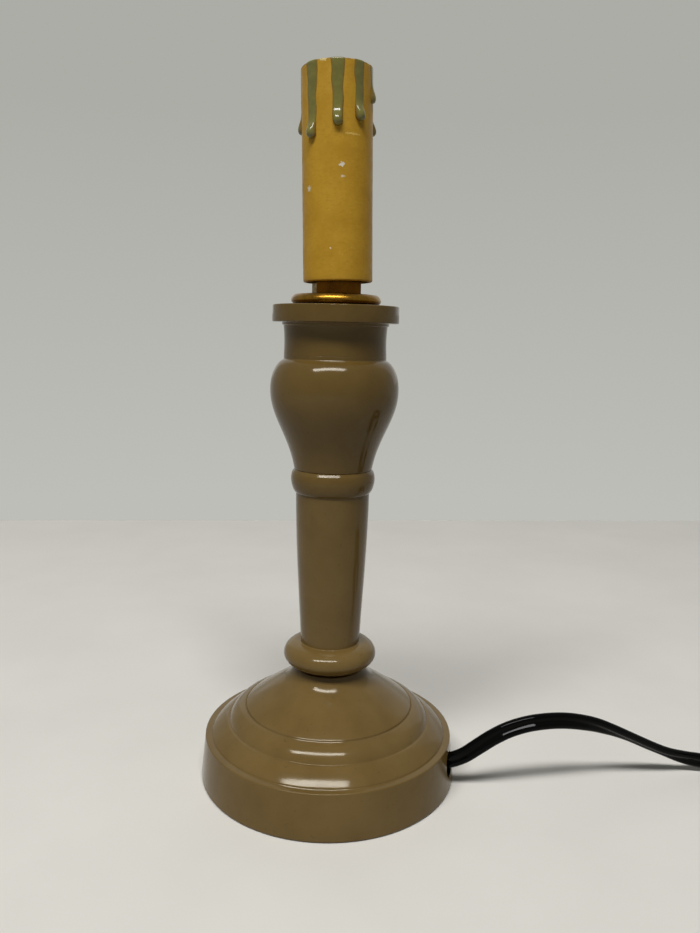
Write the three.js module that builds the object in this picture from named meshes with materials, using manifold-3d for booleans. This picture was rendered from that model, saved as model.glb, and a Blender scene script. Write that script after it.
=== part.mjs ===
// Small accent lamp: a turned candlestick with an electric candle on top and a flat twin cord.
// Millimetres, +Z up. The origin is the centre of the base, on the table.
// The photograph's viewer stands on the -Y side, so the cord leaves towards +X.

import * as THREE from 'three';
import { mergeVertices } from 'three/addons/utils/BufferGeometryUtils.js';
import Module from 'manifold-3d';

const wasm = await Module();
wasm.setup();

// Clearances
const seatGap = 0.3;            // between pieces that rest on each other
const boreGap = 0.3;            // between a shaft and its bore
const throughCut = 1;           // how far a cutter runs past the faces it opens

// Facets around each turning, and the angle in degrees at which a round moulding leaves its ledge
const baseFacets = 40;
const columnFacets = 32;
const coverFacets = 36;
const smallFacets = 24;
const pegFacets = 12;
const ledgeAngle = 15;

// Base
const baseRadius = 43.8;
const wallTaper = 1.5;          // radius lost from the table to the rim
const wallHeight = 15.2;
const footChamfer = 0.5;
const ledgeWidth = 2.3;
const ledgeRise = 0.5;          // rise of the ledge from the rim to the lower ovolo
const lowerOvoloWidth = 5.6;
const lowerOvoloHeight = 4.1;
const lowerOvoloBulge = 0.35;
const stepWidth = 0.2;
const upperOvoloWidth = 5.45;
const upperOvoloHeight = 5.3;
const upperOvoloBulge = 0.79;
const grooveWidth = 0.8;
const grooveDepth = 0.35;
const domeWidth = 12.55;
const domeHeight = 8.6;
const domeBulge = 0.2;
const coveWidth = 3.9;
const coveHeight = 4.5;
const coveFoot = [1.3, 1.1];    // inward and upward pull of the cove's foot
const coveHead = [0.45, 1.6];   // outward and downward pull of its head
const recessDepth = 13;
const recessWall = 8.3;
const washerRoom = 2;           // room left around the washer in the counterbore
const deckThickness = 4.4;      // wood left between the counterbore and the tenon's socket
const feltThickness = 0.9;
const feltMargin = 3.5;         // rim of the base left around the felt

// Hole in the base's wall for the cord
const cordHoleDiameter = 8.6;
const cordHoleHeight = 8.3;
const cordHoleBearing = THREE.MathUtils.degToRad(-16);

// Column
const tenonRadius = 9;
const tenonLength = 9.4;
const footNeckRadius = 11.2;
const footNeckHeight = 0.4;
const bunRadius = 15.75;
const bunRound = 5.05;
const bunLower = 3.8;           // height of the bun below and above its widest ring
const bunUpper = 4.5;
const shaftFootRadius = 10;
const shaftTopRadius = 12.2;
const shaftLength = 51.7;
const shaftFootPull = 0.86;     // outward pull of the shaft's line a third of the way up
const shaftTopPull = 0.08;      // inward pull of the shaft's line two thirds of the way up
const beadRadius = 13.9;
const beadRound = 1.6;
const beadLower = 4.4;          // height of the bead below and above its widest ring
const beadUpper = 3.5;
const beadLeanness = 1.6;       // power of the bead's lower outline
const vaseFootRadius = 12.85;
const vaseRadius = 20.9;
const vaseBellyHeight = 25.8;
const vaseFootPull = [2.14, 11.5];  // outward and upward pull of the vase's foot
const vaseBellyPull = 9.1;      // how far it hangs straight below its widest ring
const shoulderRound = 5.55;
const shoulderSpan = 10.1;      // height of the shoulder's full quarter ellipse
const shoulderEnd = 77;         // angle at which the neck cuts it off, in degrees
const neckTopRadius = 16.95;
const neckHeight = 11.6;
const neckHollow = 0.22;
const flangeRadius = 20.35;
const flangeThickness = 5.4;
const flangeEdge = 0.4;

// Threaded pipe and what it clamps
const pipeRadius = 4.85;
const pipeBore = 3.45;
const pipeTail = 2;             // pipe showing below the lock nut
const washerRadius = 11;
const washerThickness = 1.2;
const lockNutWidth = 14.3;
const lockNutHeight = 4.8;
const ringRadius = 14.4;
const ringThickness = 3.4;
const ringRound = 1.6;
const ringCrown = 0.4;          // rise of the ring's top from its round edge to its middle
const hexNutWidth = 14.3;
const hexNutHeight = 6.4;
const hexNutTurn = THREE.MathUtils.degToRad(-106.7);   // bearing of the flat that faces the viewer

// Candle cover and its wax runs
const coverRadius = 11;
const coverWall = 0.8;
const coverHeight = 63.5;
const coverRise = 3.6;          // how far the cover is held above the brass ring
const coverRimRound = 0.6;
const runThickness = 0.5;
const runWidth = 3.2;
const bulbRadius = 1.7;
const bulbLength = 2.2;
const waxRuns = [               // bearing from the viewer in degrees, length from the rim
  { bearing: -97, length: 18.9 },
  { bearing: -42, length: 22 },
  { bearing: 2, length: 19.1 },
  { bearing: 38, length: 17.2 },
  { bearing: 76, length: 10.8 },
  { bearing: 110, length: 18.9 },
  { bearing: 148, length: 14.5 },
  { bearing: -172, length: 21.5 },
  { bearing: -134, length: 13 },
];

// Lean of the candle on its pipe, towards -X
const candleLean = THREE.MathUtils.degToRad(1.29);
const candleShift = 0.3;        // how far the leg's hub stands off the axis
const hubPlay = 0.55;           // play of the hub on the pipe
const hubSeat = 0.45;           // height of the hub above the brass nut

// Lamp socket inside the cover
const linerWall = 0.4;
const linerFoot = 9.7;          // height of the liner's lower edge above the cover's
const linerDrop = 8;            // depth of the liner's top below the cover's
const socketDrop = 4;           // depth of the socket's lip below the cover's top
const collarHeight = 2;
const collarStep = 0.9;         // how far the collar stands out from the body
const bodyHeight = 30;
const bodyFloor = 10.5;
const flatMargin = 0.5;         // body left between its flats and the cavity
const legInset = 1.2;           // depth of the leg's flat in the body's side
const legThickness = 0.8;
const legWidth = 7;
const hubRadius = 7.4;
const hubHeight = 5;
const hubArm = 1.8;
const rivetHead = 1.8;
const rivetHeadHeight = 0.6;
const rivetShank = 1.1;
const rivetGrip = 2.4;
const terminalInset = 1.4;      // depth of the terminals' flats in the body's side
const terminalHead = 2.3;
const terminalHeadHeight = 1.4;
const terminalShank = 1.3;
const terminalDepth = 3;
const terminalRise = 5;         // height of the terminals above the body's foot
const shellRadius = 6.6;        // for a bulb with a 12 mm screw base
const shellWall = 0.35;
const shellLipWidth = 1;
const shellLipHeight = 0.5;
const shellGapBelow = 1.6;
const contactStem = 1.3;
const contactRadius = 3.4;
const contactHeight = 0.9;
const contactDome = 1.8;

// Flat twin cord
const cordWidth = 5.3;
const cordThickness = 2.7;
const cordCorner = 0.8;
const cordStep = 7;             // length of one step of the cord's solids
const leadRadius = 1;
const leadSpread = 1.3;
const cordSplit = 3;            // depth of the cord's end below the pipe's top
const innerCordPoints = [       // distance from the axis towards the hole, height above the table
  [35.7, 8], [28, 6.9], [20, 5.6], [13, 4.9], [7, 5.5], [2.7, 8], [0.6, 11.8], [0, 16], [0, 22], [0, 60],
];
const cordRunPoints = [
  [34.7, -9.9, 8.1], [40.5, -11.5, 9.4], [45.7, -12.8, 12.1], [50.3, -13.8, 16],
  [55, -14.6, 19.9], [60.2, -14.8, 22.9], [66, -14.4, 24.7], [72, -13.6, 25.4],
  [78, -12.4, 25.2], [83.9, -11, 24.2], [89.6, -9.5, 22.6], [95.1, -7.9, 20.4],
  [100.4, -6.3, 17.9], [105.6, -4.6, 15.2], [110.8, -3.1, 12.4], [116.1, -1.6, 9.7],
  [121.6, -0.3, 7.3], [127.3, 0.8, 5.3], [133.3, 1.2, 4.1], [139.3, 0.5, 3.9],
  [145.9, -1.2, 4.4], [153.7, -4, 4.6], [162.9, -8, 4.6], [172, -12.1, 4.6],
  [181.1, -16.2, 4.6], [190.3, -20.2, 4.6], [197.6, -23.5, 4.6], [205, -26.2, 4.2],
  [212, -28.1, 4], [217.4, -29.2, 3.9],
];
const cordTailPoints = [
  [224.4, 37.6, 9.3], [220.6, 37.3, 9.2], [215, 36.9, 8.2], [209, 36.6, 7], [203.3, 36.5, 6.5],
];

// Coil of the spare cord and its tie
const coilCentre = [240, 2.2];
const coilInner = 21.6;
const coilOuter = 37;
const coilBottom = 1.1;
const coilHeight = 10.95;
const coilBevel = 2.2;
const tieThickness = 0.6;
const tieWidth = 5;
const tieGap = 0.45;
const tieBearing = THREE.MathUtils.degToRad(25);

// Switch on the cord
const switchCentre = [172, -12.1];
const switchHeading = THREE.MathUtils.degToRad(-24);
const switchLength = 52;
const switchWidth = 22;
const switchHeight = 16;
const switchSplit = 7.6;        // height of the joint between the two halves
const switchRound = 9;
const switchEdge = 1.4;
const channelWidth = 4.4;
const channelFloor = 1.6;
const wheelRadius = 9.5;
const wheelThickness = 4.2;
const wheelOffset = 4.5;
const wheelLift = 0.7;          // height of the wheel above the joint of the halves
const wheelRidges = 24;
const wheelRidgeDepth = 0.5;
const wheelGap = 0.4;
const axleRadius = 1.5;
const axleLength = 2;           // length of the axle below the wheel
const switchRoof = 1;           // thickness left above the axle
const switchScrewInset = [8.5, 5];  // distance of the screw from the end and the side
const switchScrewHead = 2.6;
const switchScrewHeadHeight = 1.5;
const switchScrewShank = 1.3;
const switchScrewGrip = 4;

// Plug
const plugBack = 203;
const plugSide = 36.5;
const plugLength = 27;
const plugWidth = 20;
const plugHeight = 12.8;
const plugNeckWidth = 8.5;
const plugShoulder = 18;        // distance from the cord to the full width
const plugRound = 2.5;
const plugEdge = 1.2;
const bladeLength = 17.5;
const bladeWidth = 6.35;
const bladeThickness = 1.5;
const bladeSpacing = 12.7;

// Heights worked out from the sizes above
const lowerOvoloFoot = wallHeight + ledgeRise;
const lowerOvoloTop = lowerOvoloFoot + lowerOvoloHeight;
const upperOvoloTop = lowerOvoloTop + upperOvoloHeight;
const domeTop = upperOvoloTop + domeHeight;
const baseTop = domeTop + coveHeight;
const columnFoot = baseTop + seatGap;
const bunMiddle = columnFoot + footNeckHeight + bunLower;
const bunTop = bunMiddle + bunUpper;
const shaftTop = bunTop + shaftLength;
const beadMiddle = shaftTop + beadLower;
const beadTop = beadMiddle + beadUpper;
const bellyTop = beadTop + vaseBellyHeight;
const vaseTop = bellyTop + shoulderSpan * Math.sin(THREE.MathUtils.degToRad(shoulderEnd));
const neckTop = vaseTop + neckHeight;
const columnTop = neckTop + flangeThickness;
const tenonFoot = columnFoot - tenonLength;
const tenonFloor = tenonFoot - seatGap;
const counterboreTop = tenonFloor - deckThickness;
const ringFoot = columnTop + seatGap;
const ringTop = ringFoot + ringThickness;
const hexNutFoot = ringTop + seatGap;
const hubFoot = hexNutFoot + hexNutHeight + hubSeat;
const pipeTop = hubFoot + hubHeight;
const washerFoot = counterboreTop - seatGap - washerThickness;
const lockNutFoot = washerFoot - seatGap - lockNutHeight;
const pipeFoot = lockNutFoot - pipeTail;
const coverFoot = ringTop + coverRise;
const coverTop = coverFoot + coverHeight;
const bodyTop = coverTop - socketDrop - shellLipHeight - seatGap;
const bodyFoot = bodyTop - bodyHeight;
const cavityFloor = bodyFoot + bodyFloor;
const flatTop = cavityFloor - flatMargin;
const terminalHeight = bodyFoot + terminalRise;

// Radii worked out from the sizes above
const rimRadius = baseRadius - wallTaper;
const lowerOvoloRadius = rimRadius - ledgeWidth;
const lowerOvoloInner = lowerOvoloRadius - lowerOvoloWidth;
const upperOvoloRadius = lowerOvoloInner - stepWidth;
const upperOvoloInner = upperOvoloRadius - upperOvoloWidth;
const domeRadius = upperOvoloInner - grooveWidth;
const coveRadius = domeRadius - domeWidth;
const baseNeckRadius = coveRadius - coveWidth;
const shoulderCore = vaseRadius - shoulderRound;
const neckFootRadius = shoulderCore + shoulderRound * Math.cos(THREE.MathUtils.degToRad(shoulderEnd));
const recessRadius = rimRadius - recessWall;
const feltSeatRadius = baseRadius - feltMargin;
const pipeClearance = pipeRadius + boreGap;
const counterboreRadius = washerRadius + washerRoom;
const coverBore = coverRadius - coverWall;
const linerRadius = coverBore - boreGap;
const linerBore = linerRadius - linerWall;
const shellBore = shellRadius - shellWall;
const collarRadius = linerBore - boreGap;
const bodyRadius = collarRadius - collarStep;
const legFlat = bodyRadius - legInset;
const terminalFlat = bodyRadius - terminalInset;

// Finishes
function finish(color, roughness, metalness) {
  return new THREE.MeshStandardMaterial({ color, roughness, metalness });
}

const paint = finish(0x75603d, 0.38, 0);
const brass = finish(0xa8842f, 0.28, 1);
const steel = finish(0x9a9a98, 0.4, 1);
const felt = finish(0x2c2a27, 0.95, 0);
const candlePaint = finish(0xa67d2b, 0.55, 0);
const wax = finish(0x5f6230, 0.2, 0);
const paper = finish(0xb9a883, 0.9, 0);
const phenolic = finish(0x1d1a18, 0.5, 0);
const cordVinyl = finish(0x0b0b0c, 0.35, 0);
const hardPlastic = finish(0x111112, 0.4, 0);

// Small geometry helpers
const point = (radius, height) => new THREE.Vector2(radius, height);

// Part of an ellipse, or of a fuller or leaner oval when its power is not 2
function arc(centreRadius, centreHeight, spanRadius, spanHeight, from, to, steps, power = 2) {
  const shaped = (value) => Math.sign(value) * Math.abs(value) ** (2 / power);
  const points = [];
  for (let i = 0; i <= steps; i += 1) {
    const angle = THREE.MathUtils.degToRad(from + (to - from) * i / steps);
    const outward = spanRadius * shaped(Math.cos(angle));
    const upward = spanHeight * shaped(Math.sin(angle));
    points.push(point(centreRadius + outward, centreHeight + upward));
  }
  return points;
}

// A shallow bow between two points, bulging to the right of the way
function bow(start, end, bulge, steps) {
  const way = end.clone().sub(start);
  const side = new THREE.Vector2(way.y, -way.x).normalize();
  const points = [];
  for (let i = 0; i <= steps; i += 1) {
    const t = i / steps;
    points.push(start.clone().addScaledVector(way, t).addScaledVector(side, 4 * bulge * t * (1 - t)));
  }
  return points;
}

function curve(start, pullStart, pullEnd, end, steps) {
  return new THREE.CubicBezierCurve(start, pullStart, pullEnd, end).getPoints(steps);
}

// A welded solid from any closed geometry
function solid(geometry) {
  const bare = geometry.clone();
  bare.deleteAttribute('normal');
  bare.deleteAttribute('uv');
  const welded = mergeVertices(bare);
  const corners = welded.index.array;
  const triangles = [];
  for (let i = 0; i < corners.length; i += 3) {
    const [a, b, c] = corners.slice(i, i + 3);
    if (a !== b && b !== c && c !== a) triangles.push(a, b, c);
  }
  return new wasm.Manifold(new wasm.Mesh({
    numProp: 3,
    vertProperties: new Float32Array(welded.attributes.position.array),
    triVerts: new Uint32Array(triangles),
  }));
}

// A turned solid about Z; its outline runs anticlockwise with the radius to the right
function turned(outline, facets = smallFacets) {
  return solid(new THREE.LatheGeometry(outline, facets).rotateX(Math.PI / 2));
}

function disc(radius, foot, top, facets = smallFacets) {
  return turned([point(0, foot), point(radius, foot), point(radius, top), point(0, top)], facets);
}

function tube(bore, radius, foot, top, facets = smallFacets) {
  const outside = [point(radius, foot), point(radius, top)];
  return turned([point(bore, foot), ...outside, point(bore, top), point(bore, foot)], facets);
}

function block(from, to) {
  const size = to.map((value, axis) => value - from[axis]);
  const middle = to.map((value, axis) => (value + from[axis]) / 2);
  return solid(new THREE.BoxGeometry(...size).translate(...middle));
}

function slab(shape, foot, top, bevel = 0, curveSegments = 4) {
  const geometry = new THREE.ExtrudeGeometry(shape, {
    depth: top - foot - 2 * bevel,
    bevelEnabled: bevel > 0,
    bevelThickness: bevel,
    bevelSize: bevel,
    bevelOffset: -bevel,
    bevelSegments: 1,
    curveSegments,
  });
  return solid(geometry.translate(0, 0, foot + bevel));
}

// A round peg along any direction, from a start point
function peg(radius, start, direction, length) {
  const geometry = new THREE.CylinderGeometry(radius, radius, length, pegFacets).translate(0, length / 2, 0);
  const turn = new THREE.Quaternion().setFromUnitVectors(new THREE.Vector3(0, 1, 0), direction);
  return solid(geometry.applyQuaternion(turn).translate(start.x, start.y, start.z));
}

function hexagon(acrossFlats) {
  const corner = acrossFlats / Math.sqrt(3);
  const shape = new THREE.Shape();
  for (let i = 0; i < 6; i += 1) {
    const angle = (i + 0.5) * Math.PI / 3;
    const [x, y] = [corner * Math.cos(angle), corner * Math.sin(angle)];
    if (i === 0) shape.moveTo(x, y);
    else shape.lineTo(x, y);
  }
  shape.closePath();
  return shape;
}

function roundedRectangle(length, width, round) {
  const [x, y] = [length / 2, width / 2];
  const shape = new THREE.Shape();
  shape.moveTo(-x + round, -y);
  shape.lineTo(x - round, -y);
  shape.absarc(x - round, -y + round, round, -Math.PI / 2, 0);
  shape.lineTo(x, y - round);
  shape.absarc(x - round, y - round, round, 0, Math.PI / 2);
  shape.lineTo(-x + round, y);
  shape.absarc(-x + round, y - round, round, Math.PI / 2, Math.PI);
  shape.lineTo(-x, -y + round);
  shape.absarc(-x + round, -y + round, round, Math.PI, Math.PI * 1.5);
  return shape;
}

// A cord along its points, with an eight-sided section; a level start keeps its height upright
function cord(points, height, breadth, corner) {
  const path = new THREE.CatmullRomCurve3(points.map((place) => new THREE.Vector3(...place)));
  const [x, y] = [height / 2, breadth / 2];
  const section = new THREE.Shape();
  section.moveTo(x, -y + corner);
  section.lineTo(x, y - corner);
  section.lineTo(x - corner, y);
  section.lineTo(-x + corner, y);
  section.lineTo(-x, y - corner);
  section.lineTo(-x, -y + corner);
  section.lineTo(-x + corner, -y);
  section.lineTo(x - corner, -y);
  section.closePath();
  const steps = Math.ceil(path.getLength() / cordStep);
  return solid(new THREE.ExtrudeGeometry(section, { steps, extrudePath: path, bevelEnabled: false }));
}

// Scene graph
const lamp = new THREE.Group();

function add(name, body, material, parent = lamp) {
  const { vertProperties, triVerts } = body.getMesh();
  const geometry = new THREE.BufferGeometry();
  geometry.setAttribute('position', new THREE.BufferAttribute(vertProperties, 3));
  geometry.setIndex(new THREE.BufferAttribute(triVerts, 1));
  geometry.computeVertexNormals();
  const mesh = new THREE.Mesh(geometry, material.clone());
  mesh.name = name;
  parent.add(mesh);
  return mesh;
}

// Candle and socket lean together about the middle of the leg's hub
const hubMiddle = hubFoot + hubHeight / 2;
const leaning = new THREE.Group();
leaning.position.set(candleShift, 0, hubMiddle);
leaning.rotation.y = -candleLean;
lamp.add(leaning);
const candle = new THREE.Group();
candle.position.z = -hubMiddle;
leaning.add(candle);

const holeDirection = new THREE.Vector3(Math.cos(cordHoleBearing), Math.sin(cordHoleBearing), 0);

// Base: stepped and turned, hollow below, with a socket for the column's tenon
function makeBase() {
  const feltSeat = feltThickness + seatGap;
  const tenonSocket = tenonRadius + boreGap;
  const lowerStart = point(lowerOvoloRadius, lowerOvoloFoot);
  const lowerEnd = point(lowerOvoloInner, lowerOvoloTop);
  const upperStart = point(upperOvoloRadius, lowerOvoloTop);
  const upperEnd = point(upperOvoloInner, upperOvoloTop);
  const outline = [
    point(feltSeatRadius, 0),
    point(baseRadius - footChamfer, 0),
    point(baseRadius, footChamfer),
    point(rimRadius, wallHeight),
    ...bow(lowerStart, lowerEnd, lowerOvoloBulge, 4),
    ...bow(upperStart, upperEnd, upperOvoloBulge, 4),
    point(upperOvoloInner - grooveWidth / 2, upperOvoloTop - grooveDepth),
    ...bow(point(domeRadius, upperOvoloTop), point(coveRadius, domeTop), domeBulge, 3),
    ...curve(
      point(coveRadius, domeTop),
      point(coveRadius - coveFoot[0], domeTop + coveFoot[1]),
      point(baseNeckRadius + coveHead[0], baseTop - coveHead[1]),
      point(baseNeckRadius, baseTop),
      3,
    ).slice(1),
    point(tenonSocket, baseTop),
    point(tenonSocket, tenonFloor),
    point(pipeClearance, tenonFloor),
    point(pipeClearance, counterboreTop),
    point(counterboreRadius, counterboreTop),
    point(counterboreRadius, recessDepth),
    point(recessRadius, recessDepth),
    point(recessRadius, feltSeat),
    point(feltSeatRadius, feltSeat),
    point(feltSeatRadius, 0),
  ];
  const start = holeDirection.clone().multiplyScalar(recessRadius - recessWall);
  start.z = cordHoleHeight;
  const hole = peg(cordHoleDiameter / 2, start, holeDirection, 2 * recessWall + wallTaper + throughCut);
  add('base', turned(outline, baseFacets).subtract(hole), paint);
  add('felt_pad', disc(feltSeatRadius - boreGap, 0, feltThickness, baseFacets), felt);
}

// Column: tenon, bun, swelling shaft, bead, vase, hollow neck and flat flange in one turning
function makeColumn() {
  const bunCore = bunRadius - bunRound;
  const beadCore = beadRadius - beadRound;
  const outline = [
    point(pipeClearance, tenonFoot),
    point(tenonRadius, tenonFoot),
    point(tenonRadius, columnFoot),
    point(footNeckRadius, columnFoot),
    ...arc(bunCore, bunMiddle, bunRound, bunLower, ledgeAngle - 90, 0, 4),
    ...arc(bunCore, bunMiddle, bunRound, bunUpper, 0, 90, 5).slice(1),
    ...curve(
      point(shaftFootRadius, bunTop),
      point(shaftFootRadius + shaftFootPull, bunTop + shaftLength / 3),
      point(shaftTopRadius - shaftTopPull, bunTop + shaftLength * 2 / 3),
      point(shaftTopRadius, shaftTop),
      4,
    ),
    ...arc(beadCore, beadMiddle, beadRound, beadLower, ledgeAngle - 90, 0, 3, beadLeanness),
    ...arc(beadCore, beadMiddle, beadRound, beadUpper, 0, 90 - ledgeAngle, 3).slice(1),
    ...curve(
      point(vaseFootRadius, beadTop),
      point(vaseFootRadius + vaseFootPull[0], beadTop + vaseFootPull[1]),
      point(vaseRadius, bellyTop - vaseBellyPull),
      point(vaseRadius, bellyTop),
      6,
    ),
    ...arc(shoulderCore, bellyTop, shoulderRound, shoulderSpan, 0, shoulderEnd, 5).slice(1),
    ...curve(
      point(neckFootRadius, vaseTop),
      point(neckFootRadius - neckHollow, vaseTop + neckHeight / 3),
      point(neckFootRadius - neckHollow, vaseTop + neckHeight * 2 / 3),
      point(neckTopRadius, neckTop),
      3,
    ).slice(1),
    point(flangeRadius - flangeEdge, neckTop),
    point(flangeRadius, neckTop + flangeEdge),
    point(flangeRadius, columnTop - flangeEdge),
    point(flangeRadius - flangeEdge, columnTop),
    point(pipeClearance, columnTop),
    point(pipeClearance, tenonFoot),
  ];
  add('column', turned(outline, columnFacets), paint);
}

// Threaded pipe through the column, clamped below by a washer and nut and above by the brass nut
function makeStack() {
  const nut = (width, height) => slab(hexagon(width), 0, height)
    .subtract(disc(pipeClearance, -throughCut, height + throughCut));
  const ringRoundHeight = ringTop - ringCrown - ringRound;
  const ringOutline = [
    point(pipeClearance, ringFoot),
    point(ringRadius, ringFoot),
    ...arc(ringRadius - ringRound, ringRoundHeight, ringRound, ringRound, 0, 90 - ledgeAngle, 3),
    point(hexNutWidth / 2, ringTop),
    point(pipeClearance, ringTop),
    point(pipeClearance, ringFoot),
  ];
  add('threaded_pipe', tube(pipeBore, pipeRadius, pipeFoot, pipeTop), steel);
  add('base_washer', tube(pipeClearance, washerRadius, washerFoot, washerFoot + washerThickness), steel);
  add('base_lock_nut', nut(lockNutWidth, lockNutHeight), steel).position.z = lockNutFoot;
  add('check_ring', turned(ringOutline, columnFacets), brass);
  const topNut = add('hex_nut', nut(hexNutWidth, hexNutHeight), brass);
  topNut.position.z = hexNutFoot;
  topNut.rotation.z = hexNutTurn;
}

// Socket: leg on the pipe, moulded body, screw shell, contact, terminals and rivet
function makeSocket() {
  const legInner = -legFlat - seatGap;
  const legOuter = legInner - legThickness;
  const legTop = flatTop - seatGap;
  const rivetHeight = (bodyFoot + legTop) / 2;
  const half = legWidth / 2;
  const outward = new THREE.Vector3(-1, 0, 0);
  const hub = disc(hubRadius, hubFoot, hubFoot + hubHeight)
    .add(block([legOuter, -half, hubFoot], [-pipeRadius, half, hubFoot + hubArm]))
    .add(block([legOuter, -half, hubFoot], [legInner, half, legTop]));
  const hubBore = disc(pipeRadius + hubPlay, hubFoot - throughCut, hubFoot + hubHeight + throughCut);
  const rivetEnd = new THREE.Vector3(rivetGrip - legFlat, 0, rivetHeight);
  const boreEnd = new THREE.Vector3(rivetGrip - legFlat + boreGap, 0, rivetHeight);
  const rivetReach = rivetEnd.x - legOuter + seatGap;
  const rivetBore = peg(rivetShank + boreGap, boreEnd, outward, rivetReach + boreGap + throughCut);
  add('socket_leg', hub.subtract(hubBore).subtract(rivetBore), steel, candle);

  const headStart = new THREE.Vector3(legOuter - seatGap, 0, rivetHeight);
  const rivet = peg(rivetHead, headStart, outward, rivetHeadHeight)
    .add(peg(rivetShank, rivetEnd, outward, rivetReach + rivetHeadHeight / 2));
  add('leg_rivet', rivet, steel, candle);

  const cavityRadius = shellRadius + boreGap;
  const stemBore = contactStem + boreGap;
  const far = 2 * coverRadius;
  const bodyOutline = [
    point(stemBore, bodyFoot),
    point(collarRadius, bodyFoot),
    point(collarRadius, bodyFoot + collarHeight),
    point(bodyRadius, bodyFoot + collarHeight),
    point(bodyRadius, bodyTop),
    point(cavityRadius, bodyTop),
    point(cavityRadius, cavityFloor),
    point(stemBore, cavityFloor),
    point(stemBore, bodyFoot),
  ];
  let body = turned(bodyOutline)
    .subtract(block([-far, -far, bodyFoot - throughCut], [-legFlat, far, flatTop]))
    .subtract(rivetBore);
  for (const side of [-1, 1]) {
    const flat = block([-far, terminalFlat, bodyFoot - throughCut],
      [far, far, flatTop]);
    const boreStart = new THREE.Vector3(0, terminalFlat + throughCut, terminalHeight);
    const boreLength = terminalDepth + throughCut + boreGap;
    const screwBore = peg(terminalShank + boreGap, boreStart, new THREE.Vector3(0, -1, 0), boreLength);
    const cut = flat.add(screwBore);
    body = body.subtract(side > 0 ? cut : cut.rotate([0, 0, 180]));
  }
  add('socket_body', body, phenolic, candle);

  const screwStart = new THREE.Vector3(0, terminalFlat + seatGap, 0);
  const screw = peg(terminalHead, screwStart, new THREE.Vector3(0, 1, 0), terminalHeadHeight)
    .add(peg(terminalShank, new THREE.Vector3(0, terminalFlat - terminalDepth + boreGap, 0),
      new THREE.Vector3(0, 1, 0), terminalDepth + terminalHeadHeight / 2));
  add('terminal_screw_live', screw, brass, candle).position.z = terminalHeight;
  const neutral = add('terminal_screw_neutral', screw, steel, candle);
  neutral.position.z = terminalHeight;
  neutral.rotation.z = Math.PI;

  const lipFoot = bodyTop + seatGap;
  const shellFoot = cavityFloor + shellGapBelow;
  const shellLip = shellRadius + shellLipWidth;
  const shellOutline = [
    point(shellBore, shellFoot),
    point(shellRadius, shellFoot),
    point(shellRadius, lipFoot),
    point(shellLip, lipFoot),
    point(shellLip, lipFoot + shellLipHeight),
    point(shellBore, lipFoot + shellLipHeight),
    point(shellBore, shellFoot),
  ];
  add('screw_shell', turned(shellOutline), brass, candle);

  const contactFoot = cavityFloor + seatGap;
  const contactOutline = [
    point(0, bodyFoot),
    point(contactStem, bodyFoot),
    point(contactStem, contactFoot),
    point(contactRadius, contactFoot),
    point(contactRadius, contactFoot + contactHeight),
    point(contactStem, contactFoot + contactHeight + contactDome),
    point(0, contactFoot + contactHeight + contactDome),
  ];
  add('center_contact', turned(contactOutline, pegFacets), brass, candle);
}

// Candle cover with a paper liner inside and runs of wax down its outside
function makeCandle() {
  const outline = [
    point(coverBore, coverFoot),
    point(coverRadius, coverFoot),
    ...arc(coverRadius - coverRimRound, coverTop - coverRimRound, coverRimRound, coverRimRound, 0, 90, 2),
    point(coverBore, coverTop),
    point(coverBore, coverFoot),
  ];
  add('candle_cover', turned(outline, coverFacets), candlePaint, candle);
  const liner = tube(linerBore, linerRadius, coverFoot + linerFoot, coverTop - linerDrop, coverFacets);
  add('insulating_liner', liner, paper, candle);

  const inner = coverRadius + seatGap;
  const outer = inner + runThickness;
  const spread = runWidth / outer / 2;
  const sector = (from, to) => {
    const shape = new THREE.Shape();
    shape.absarc(0, 0, to, -spread, spread);
    shape.absarc(0, 0, from, spread, -spread, true);
    return shape;
  };
  const capFoot = coverTop + seatGap;
  const cap = slab(sector(coverBore, outer), capFoot, capFoot + runThickness, 0, 2);
  const core = disc(inner, coverFoot, capFoot, coverFacets);
  waxRuns.forEach(({ bearing, length }, index) => {
    const end = coverTop - length;
    const strip = slab(sector(inner, outer), end + bulbLength, capFoot + runThickness / 2, 0, 2);
    const ball = new THREE.SphereGeometry(1, 8, 6)
      .scale(bulbRadius, bulbRadius, bulbLength)
      .translate(inner, 0, end + bulbLength);
    const drip = solid(ball).subtract(core).add(strip).add(cap);
    const run = add(`wax_run_${index + 1}`, drip, wax, candle);
    run.rotation.z = THREE.MathUtils.degToRad(bearing - 90);
  });
}

// Cord inside the base and the pipe, and its two leads to the socket's terminals
function makeInnerCord() {
  const splitHeight = pipeTop - cordSplit;
  const places = [...innerCordPoints, [0, splitHeight]].map(([distance, height]) => (
    [distance * holeDirection.x, distance * holeDirection.y, height]
  ));
  add('cord_inner', cord(places, cordThickness, cordWidth, cordCorner), cordVinyl);

  const terminalFoot = terminalHeight - terminalHead - seatGap;
  const lead = terminalFlat + boreGap + leadRadius;
  const bendHeight = bodyFoot - 2 * leadRadius;
  const leadPoints = [
    [0, leadSpread, splitHeight + seatGap],
    [0, leadSpread, pipeTop],
    [0, (leadSpread + lead) / 2, (pipeTop + bendHeight) / 2],
    [0, lead, bendHeight],
    [0, lead, terminalFoot],
  ];
  const wire = cord(leadPoints, 2 * leadRadius, 2 * leadRadius, leadRadius * (2 - Math.SQRT2));
  add('lead_live', wire, cordVinyl, candle);
  add('lead_neutral', wire, cordVinyl, candle).rotation.z = Math.PI;
}

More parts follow.
